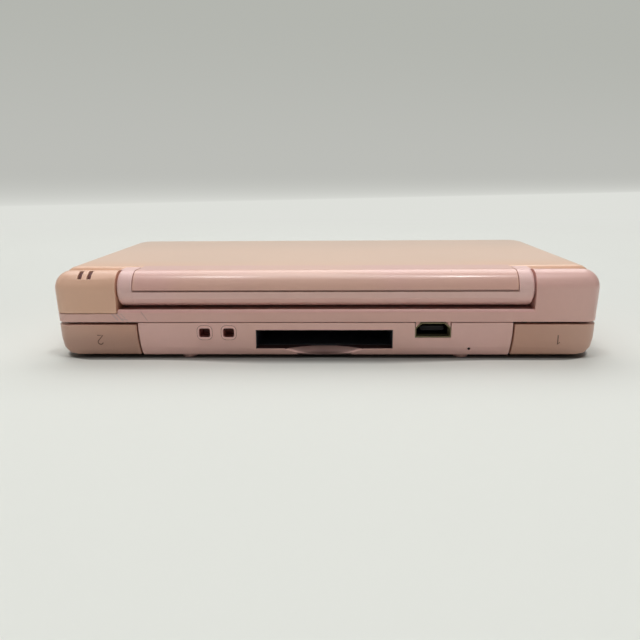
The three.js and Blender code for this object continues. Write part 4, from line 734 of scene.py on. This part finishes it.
def printed_stroke(path):
    """A flat ink line on the back face: at each point of a path in (x, z) it is widened square to
    the path, and it stands a hair proud of the leaning face."""
    out = square_to(path) * STROKE
    rows = []
    for sign, proud in ((-1, INK_PROUD), (1, INK_PROUD), (1, -INK_SUNK), (-1, -INK_SUNK)):
        flat = path + sign * out
        rows.append(np.column_stack([flat[:, 0], back_face(flat[:, 1]) + proud, flat[:, 1]]))
    return capped(np.stack(rows, 1) * MM)


def upside_down(points, x, z):
    """A numeral drawn upright about (0, 0), put at (x, z) as it is printed: it reads the right
    way up from above, so seen from behind it stands on its head."""
    points = np.asarray(points, float)
    return np.column_stack([x + points[:, 0], z - points[:, 1]])


curve = np.radians(np.linspace(165, -35, 14))
bowl = zip(BOWL_WIDTH * np.cos(curve), BOWL_MIDDLE + BOWL_HEIGHT * np.sin(curve))
numerals = {
    "left": [(-0.5, 0.65), (0.0, NUMERAL_HALF), (0.0, -NUMERAL_HALF)],
    "right": [*bowl, (-0.66, -NUMERAL_HALF), (0.7, -NUMERAL_HALF)],
}
ink = plain("brown_ink", (0.20, 0.105, 0.075), 0.6)
for side, numeral in numerals.items():
    path = upside_down(numeral, NUMERAL_X[side], NUMERAL_Z)
    ride_with(mesh_object(f"shoulder_number_{side}", [printed_stroke(path)], smooth=False),
              ink, f"shoulder_{side}")


# ---- Upper shell
# The deck and the left hinge housing are one moulding. Its back strip is pink as the lower shell
# is, with hairline scratches by the right hinge housing, and its deck is a finer matt.
DECK, DECK_AGED, EDGE_SHADE = (0.805, 0.475, 0.422), (0.785, 0.455, 0.378), (0.755, 0.395, 0.375)
SCORED, SCORED_DEEP, SCORED_Y = (0.42, 0.33, 0.355), (0.26, 0.15, 0.14), 36.85
deck_pink = moulded(
    "upper_shell_pink", DECK, DECK_AGED, 0.35, 0.42, lines=[
        ((51.9, SCORED_Y, 11.6), (-1.5, 0, -1.8), 0.36, SCORED, 0.34),
        ((50.8, SCORED_Y, 11.5), (-1.7, 0, -1.9), 0.32, SCORED, 0.42),
        ((49.5, SCORED_Y, 11.3), (-0.9, 0, -1.0), 0.26, SCORED, 0.30),
        ((49.2, SCORED_Y, 10.1), (-1.1, 0, -0.3), 0.26, SCORED, 0.38),
        ((44.6, SCORED_Y, 11.9), (-1.5, 0, -2.2), 0.22, SCORED_DEEP, 0.32),
    ],
    marks=[
        # Painted shade in the trough under the barrel, then along the edge behind it.
        ((0, 31.4, 12.7), (49.9, 5.1, 0.3), 0.15, SHADOWED, 0.7),
        ((0, 37.0, 12.2), (49.9, 0.3, 0.3), 0.35, EDGE_SHADE, 0.75),
    ],
    Coat_Weight=0.5, Coat_Roughness=0.3,
)
dress(deck_pink, "base_upper_shell", edge=0.08)


# ---- Right hinge housing
# The housing's cover is a separate cap in a plastic that has gone peach. Two narrow lamp windows
# are cut in its crown, and a red-brown light guide stands behind them.
cap_peach = moulded("hinge_cap_peach", (0.82, 0.50, 0.365), (0.85, 0.50, 0.335), 0.5, 0.42,
                    Coat_Weight=0.15, Coat_Roughness=0.3)
dress(cap_peach, "hinge_end_cover", edge=0.08)
lamp_resin = plain("lamp_resin", (0.13, 0.042, 0.036), 0.55, spread=0.05, Specular_IOR_Level=0.25)
dress(lamp_resin, "led_light_guide", edge=0.05)


# ---- Lid cover
# The outer cover is a clear-coated moulding. The flat of the lid has aged to peach, deepest at its
# back edge, while the wrap round the barrel has stayed pink.
# The front tone of the flat is painted shade, darker and greyer towards the front.
LID_PEACH, LID_DEEP, LID_SHADE = (0.785, 0.525, 0.385), (0.82, 0.485, 0.315), (0.69, 0.475, 0.355)
BARREL_PINK, GRIME = (0.79, 0.462, 0.402), (0.15, 0.035, 0.025)
FAR_SHADE_SPAN, DEEP_SPAN, DEEP_SIDE = (0.0, -0.037), (0.012, 0.0275), (0.022, 0.052)
DEEP_MIDDLE = 0.35
WRAP_SPAN, WRAP_SIDE = (0.0238, 0.0272), (0.0470, 0.0456)


def lid_paint():
    """Peach on the flat, deeper along the back edge and the outer corners, and pink from the edge
    of the wrap on; painted shade turns the flat darker and greyer towards the front. Dirt has
    gathered along the wrap's lower edge, and one hairline crack runs over the barrel."""
    material, tree = new_material("lid_cover_gloss")
    _, axes = object_place(tree)
    side = sum_of(tree, "ABSOLUTE", axes["X"])
    deep = sum_of(tree, "MULTIPLY", ramp_between(tree, axes["Y"], *DEEP_SPAN),
                  ramp_between(tree, side, *DEEP_SIDE, to_low=DEEP_MIDDLE))
    flat = blend_colours(tree, ramp_between(tree, axes["Y"], *FAR_SHADE_SPAN), LID_PEACH, LID_SHADE)
    aged = blend_colours(tree, deep, flat, LID_DEEP)
    on_wrap = sum_of(tree, "MULTIPLY", ramp_between(tree, axes["Y"], *WRAP_SPAN),
                     ramp_between(tree, side, *WRAP_SIDE))
    tint = blend_colours(tree, on_wrap, aged, BARREL_PINK)
    base = placed_group(tree, MOULDED_SKIN, Colour=tint, Aged=aged, Age=0.12, Roughness=0.38,
                        Mottle=0.03, Polish=0.05)
    crack = line_mask(tree, (-30.75, 33.9, 21.2), (0.65, 1.9, -1.6), 0.2)
    seam = box_mask(tree, (0, 36.9, 17.03), (46.3, 1.0, 0.07), 0.08)
    hair = scratch_mask(tree, (0, -5, 21.5), (80, 45, 5), (0, 0, 0.7), (1100, 26, 800), 0.66)
    shade = stained(tree, base["Colour"], crack, GRIME, 0.55)
    shade = stained(tree, shade, seam, GRIME, 0.8)
    rough = sum_of(tree, "MULTIPLY_ADD", hair, 0.05, base["Roughness"])
    finish_shader(tree, shade, rough, base["Height"], 0.12, Coat_Weight=0.45, Coat_Roughness=0.17)
    return material


dress(lid_paint(), "lid_outer_cover", edge=0.04)


# ---- Lid inner shell
# The frame round the upper display, with the barrel's lower half and its two end rings, is moulded
# in the same pink with a satin face.
frame_pink = moulded("lid_frame_pink", (0.87, 0.570, 0.535), (0.86, 0.555, 0.48), 0.3, 0.42,
                     Coat_Weight=0.2, Coat_Roughness=0.2)
dress(frame_pink, "lid_inner_shell", edge=0.02)


# ---- Hinge parts
# Inside the barrel are a sprung clutch on a steel pin, the microphone in its black holder, and the
# display ribbon, which passes through the hollow pin down to the board.
dress(bright_steel, "hinge_clutch_pin", "hinge_hollow_pin", "hinge_clutch", edge=0.12)
black_plastic = plain("black_plastic", (0.020, 0.022, 0.024), 0.42)
dress(black_plastic, "microphone", edge=0.2)
ribbon_film = plain("ribbon_film", (0.46, 0.22, 0.07), 0.4)
dress(ribbon_film, "display_ribbon", "ribbon_tail", edge=0.05)


# ---- Displays
# Two equal colour panels. The upper one is behind a printed window, and the lower one is under a
# touch film with a thin dark border. Both are dark while the console is off.
BORDER_BLACK, PICTURE_GREY = (0.006, 0.006, 0.007), (0.030, 0.034, 0.038)
SMEAR_SIZE, SMEAR_ROUGHNESS = 45, 0.08


def dark_glass(name, half_width, middle_y, half_height, roughness):
    """Black print round a picture area that is a little lighter and bluer, under polished glass.
    The area's box is tall enough to take in the panel at either height."""
    material, tree = new_material(name)
    place, _ = object_place(tree)
    picture = box_mask(tree, (0, middle_y, 12), (half_width, half_height, 20), 0.15)
    smear = noise(tree, place, SMEAR_SIZE, 3)
    shade = blend_colours(tree, picture, BORDER_BLACK, PICTURE_GREY)
    rough = sum_of(tree, "MULTIPLY_ADD", smear, SMEAR_ROUGHNESS, roughness)
    finish_shader(tree, shade, rough, smear, 0.02, Coat_Weight=1.0, Coat_Roughness=0.03)
    return material


dress(dark_glass("window_glass", 30.6, -4.675, 23.0, 0.06), "upper_display_window", edge=0.15)
dress(dark_glass("touch_film", 30.4, -2.5, 22.7, 0.16), "touch_panel", edge=0.12)
dress(black_plastic, "upper_display_panel", "lower_display_panel", edge=0.1)


# ---- Direction pad and buttons
# Gloss caps in a paler pink stand through holes in the deck. The pad tilts on a rubber hub, and
# the buttons stand on one silicone mat.
cap_gloss = moulded("button_gloss", (0.82, 0.585, 0.530), (0.84, 0.58, 0.48), 0.3, 0.14,
                    mottle=0.02, bump=0.08, Coat_Weight=0.6, Coat_Roughness=0.05)
dress(cap_gloss, "dpad", edge=0.3, steps=3)
face_buttons = [f"face_button_{side}" for side in ("right", "upper", "left", "lower")]
dress(cap_gloss, *face_buttons, "start_button", "select_button", edge=0.15)
grey_rubber = plain("grey_rubber", (0.33, 0.31, 0.29), 0.75, bump=0.3)
dress(grey_rubber, "dpad_pivot", "button_mat", edge=0.05)


# ---- Speakers and pads
# Two small speakers sit behind round holes beside the upper display. Four soft pads keep the
# lid's face off the deck and hide its screws.
dress(black_plastic, "speaker_left", "speaker_right", edge=0.15)
corners = ("front_left", "front_right", "back_left", "back_right")
dress(grey_rubber, *[f"lid_pad_{corner}" for corner in corners], edge=0.12)
dress(bright_steel, *[f"lid_screw_{corner}" for corner in corners], edge=0.08)


# ---- Board, wireless module and battery
# A green glass-fibre board with tinned pads, a shielded radio under it, and a wrapped lithium
# pack in the floor behind a screwed cover.
MASK_GREEN, TRACK_GREEN = (0.014, 0.085, 0.045), (0.030, 0.16, 0.085)
TRACK_STRETCHES, TRACK_SPAN = ((2200, 130, 10), (130, 2200, 10)), (0.52, 0.56)


def solder_mask():
    """Green lacquer over copper: short straight tracks from two crossed bands of noise."""
    material, tree = new_material("solder_mask")
    place, _ = object_place(tree)
    bands = [ramp_between(tree, noise(tree, vector_of(tree, "MULTIPLY", place, stretch), 1),
                          *TRACK_SPAN) for stretch in TRACK_STRETCHES]
    tracks = sum_of(tree, "MAXIMUM", *bands)
    shade = blend_colours(tree, tracks, MASK_GREEN, TRACK_GREEN)
    finish_shader(tree, shade, 0.35, tracks, 0.2, Coat_Weight=0.4)
    return material


dress(solder_mask(), "main_board", edge=0.08)
tinned = plain("tinned_steel", (0.52, 0.53, 0.53), 0.34, metal=1.0)
dress(tinned, "wifi_module", edge=0.12)
dress(plain("battery_wrap", (0.13, 0.15, 0.18), 0.42), "battery_pack", edge=0.3)
dress(lower_pink, "battery_cover", edge=0.2)
dress(tinned, "battery_cover_screw", edge=0.08)


# ---- Cartridge bay
# A folded steel roof over the long front slot, its row of contacts, and the hollow pink cover
# that keeps dust out and pulls straight forward.
CARTRIDGE_LEAF = {"root": -10.6, "reach": -5.6, "foot": 2.9, "rise": 1.0, "width": 0.9}
CARTRIDGE_HALF, CARTRIDGE_CONTACTS = 29.0, 24
slot_steel = plain("slot_steel", (0.34, 0.33, 0.31), 0.38, metal=1.0)
dress(slot_steel, "cartridge_slot_cage", edge=0.08, steps=1)
ride_with(mesh_object("cartridge_contacts", contact_row(
    sprung_leaf(**CARTRIDGE_LEAF), CARTRIDGE_CONTACTS, CARTRIDGE_HALF,
)), gold_plate, "base")
dress(lower_pink, "cartridge_dust_cover", edge=0.2)


# ---- Jack, sliders and stylus
# A black audio jack with a headset socket beside it, a ribbed power switch and volume slider, and
# the stylus in its channel with its cap flush with the side.
dress(black_plastic, "audio_jack", edge=0.12)
slider_pink = moulded("slider_pink", (0.79, 0.55, 0.515), PINK_AGED, 0.4, 0.36, polish=0.0)
dress(slider_pink, "power_switch", "volume_slider", edge=0.12)
dress(slider_pink, "stylus", edge=0.1)


# ---- Feet and case screws
# Four moulded feet press into the floor, and four cross-head screws hold the two base shells.
dress(lower_pink, *[f"foot_{corner}" for corner in corners], edge=0.15)
dress(tinned, *[f"base_screw_{corner}" for corner in corners], edge=0.08)
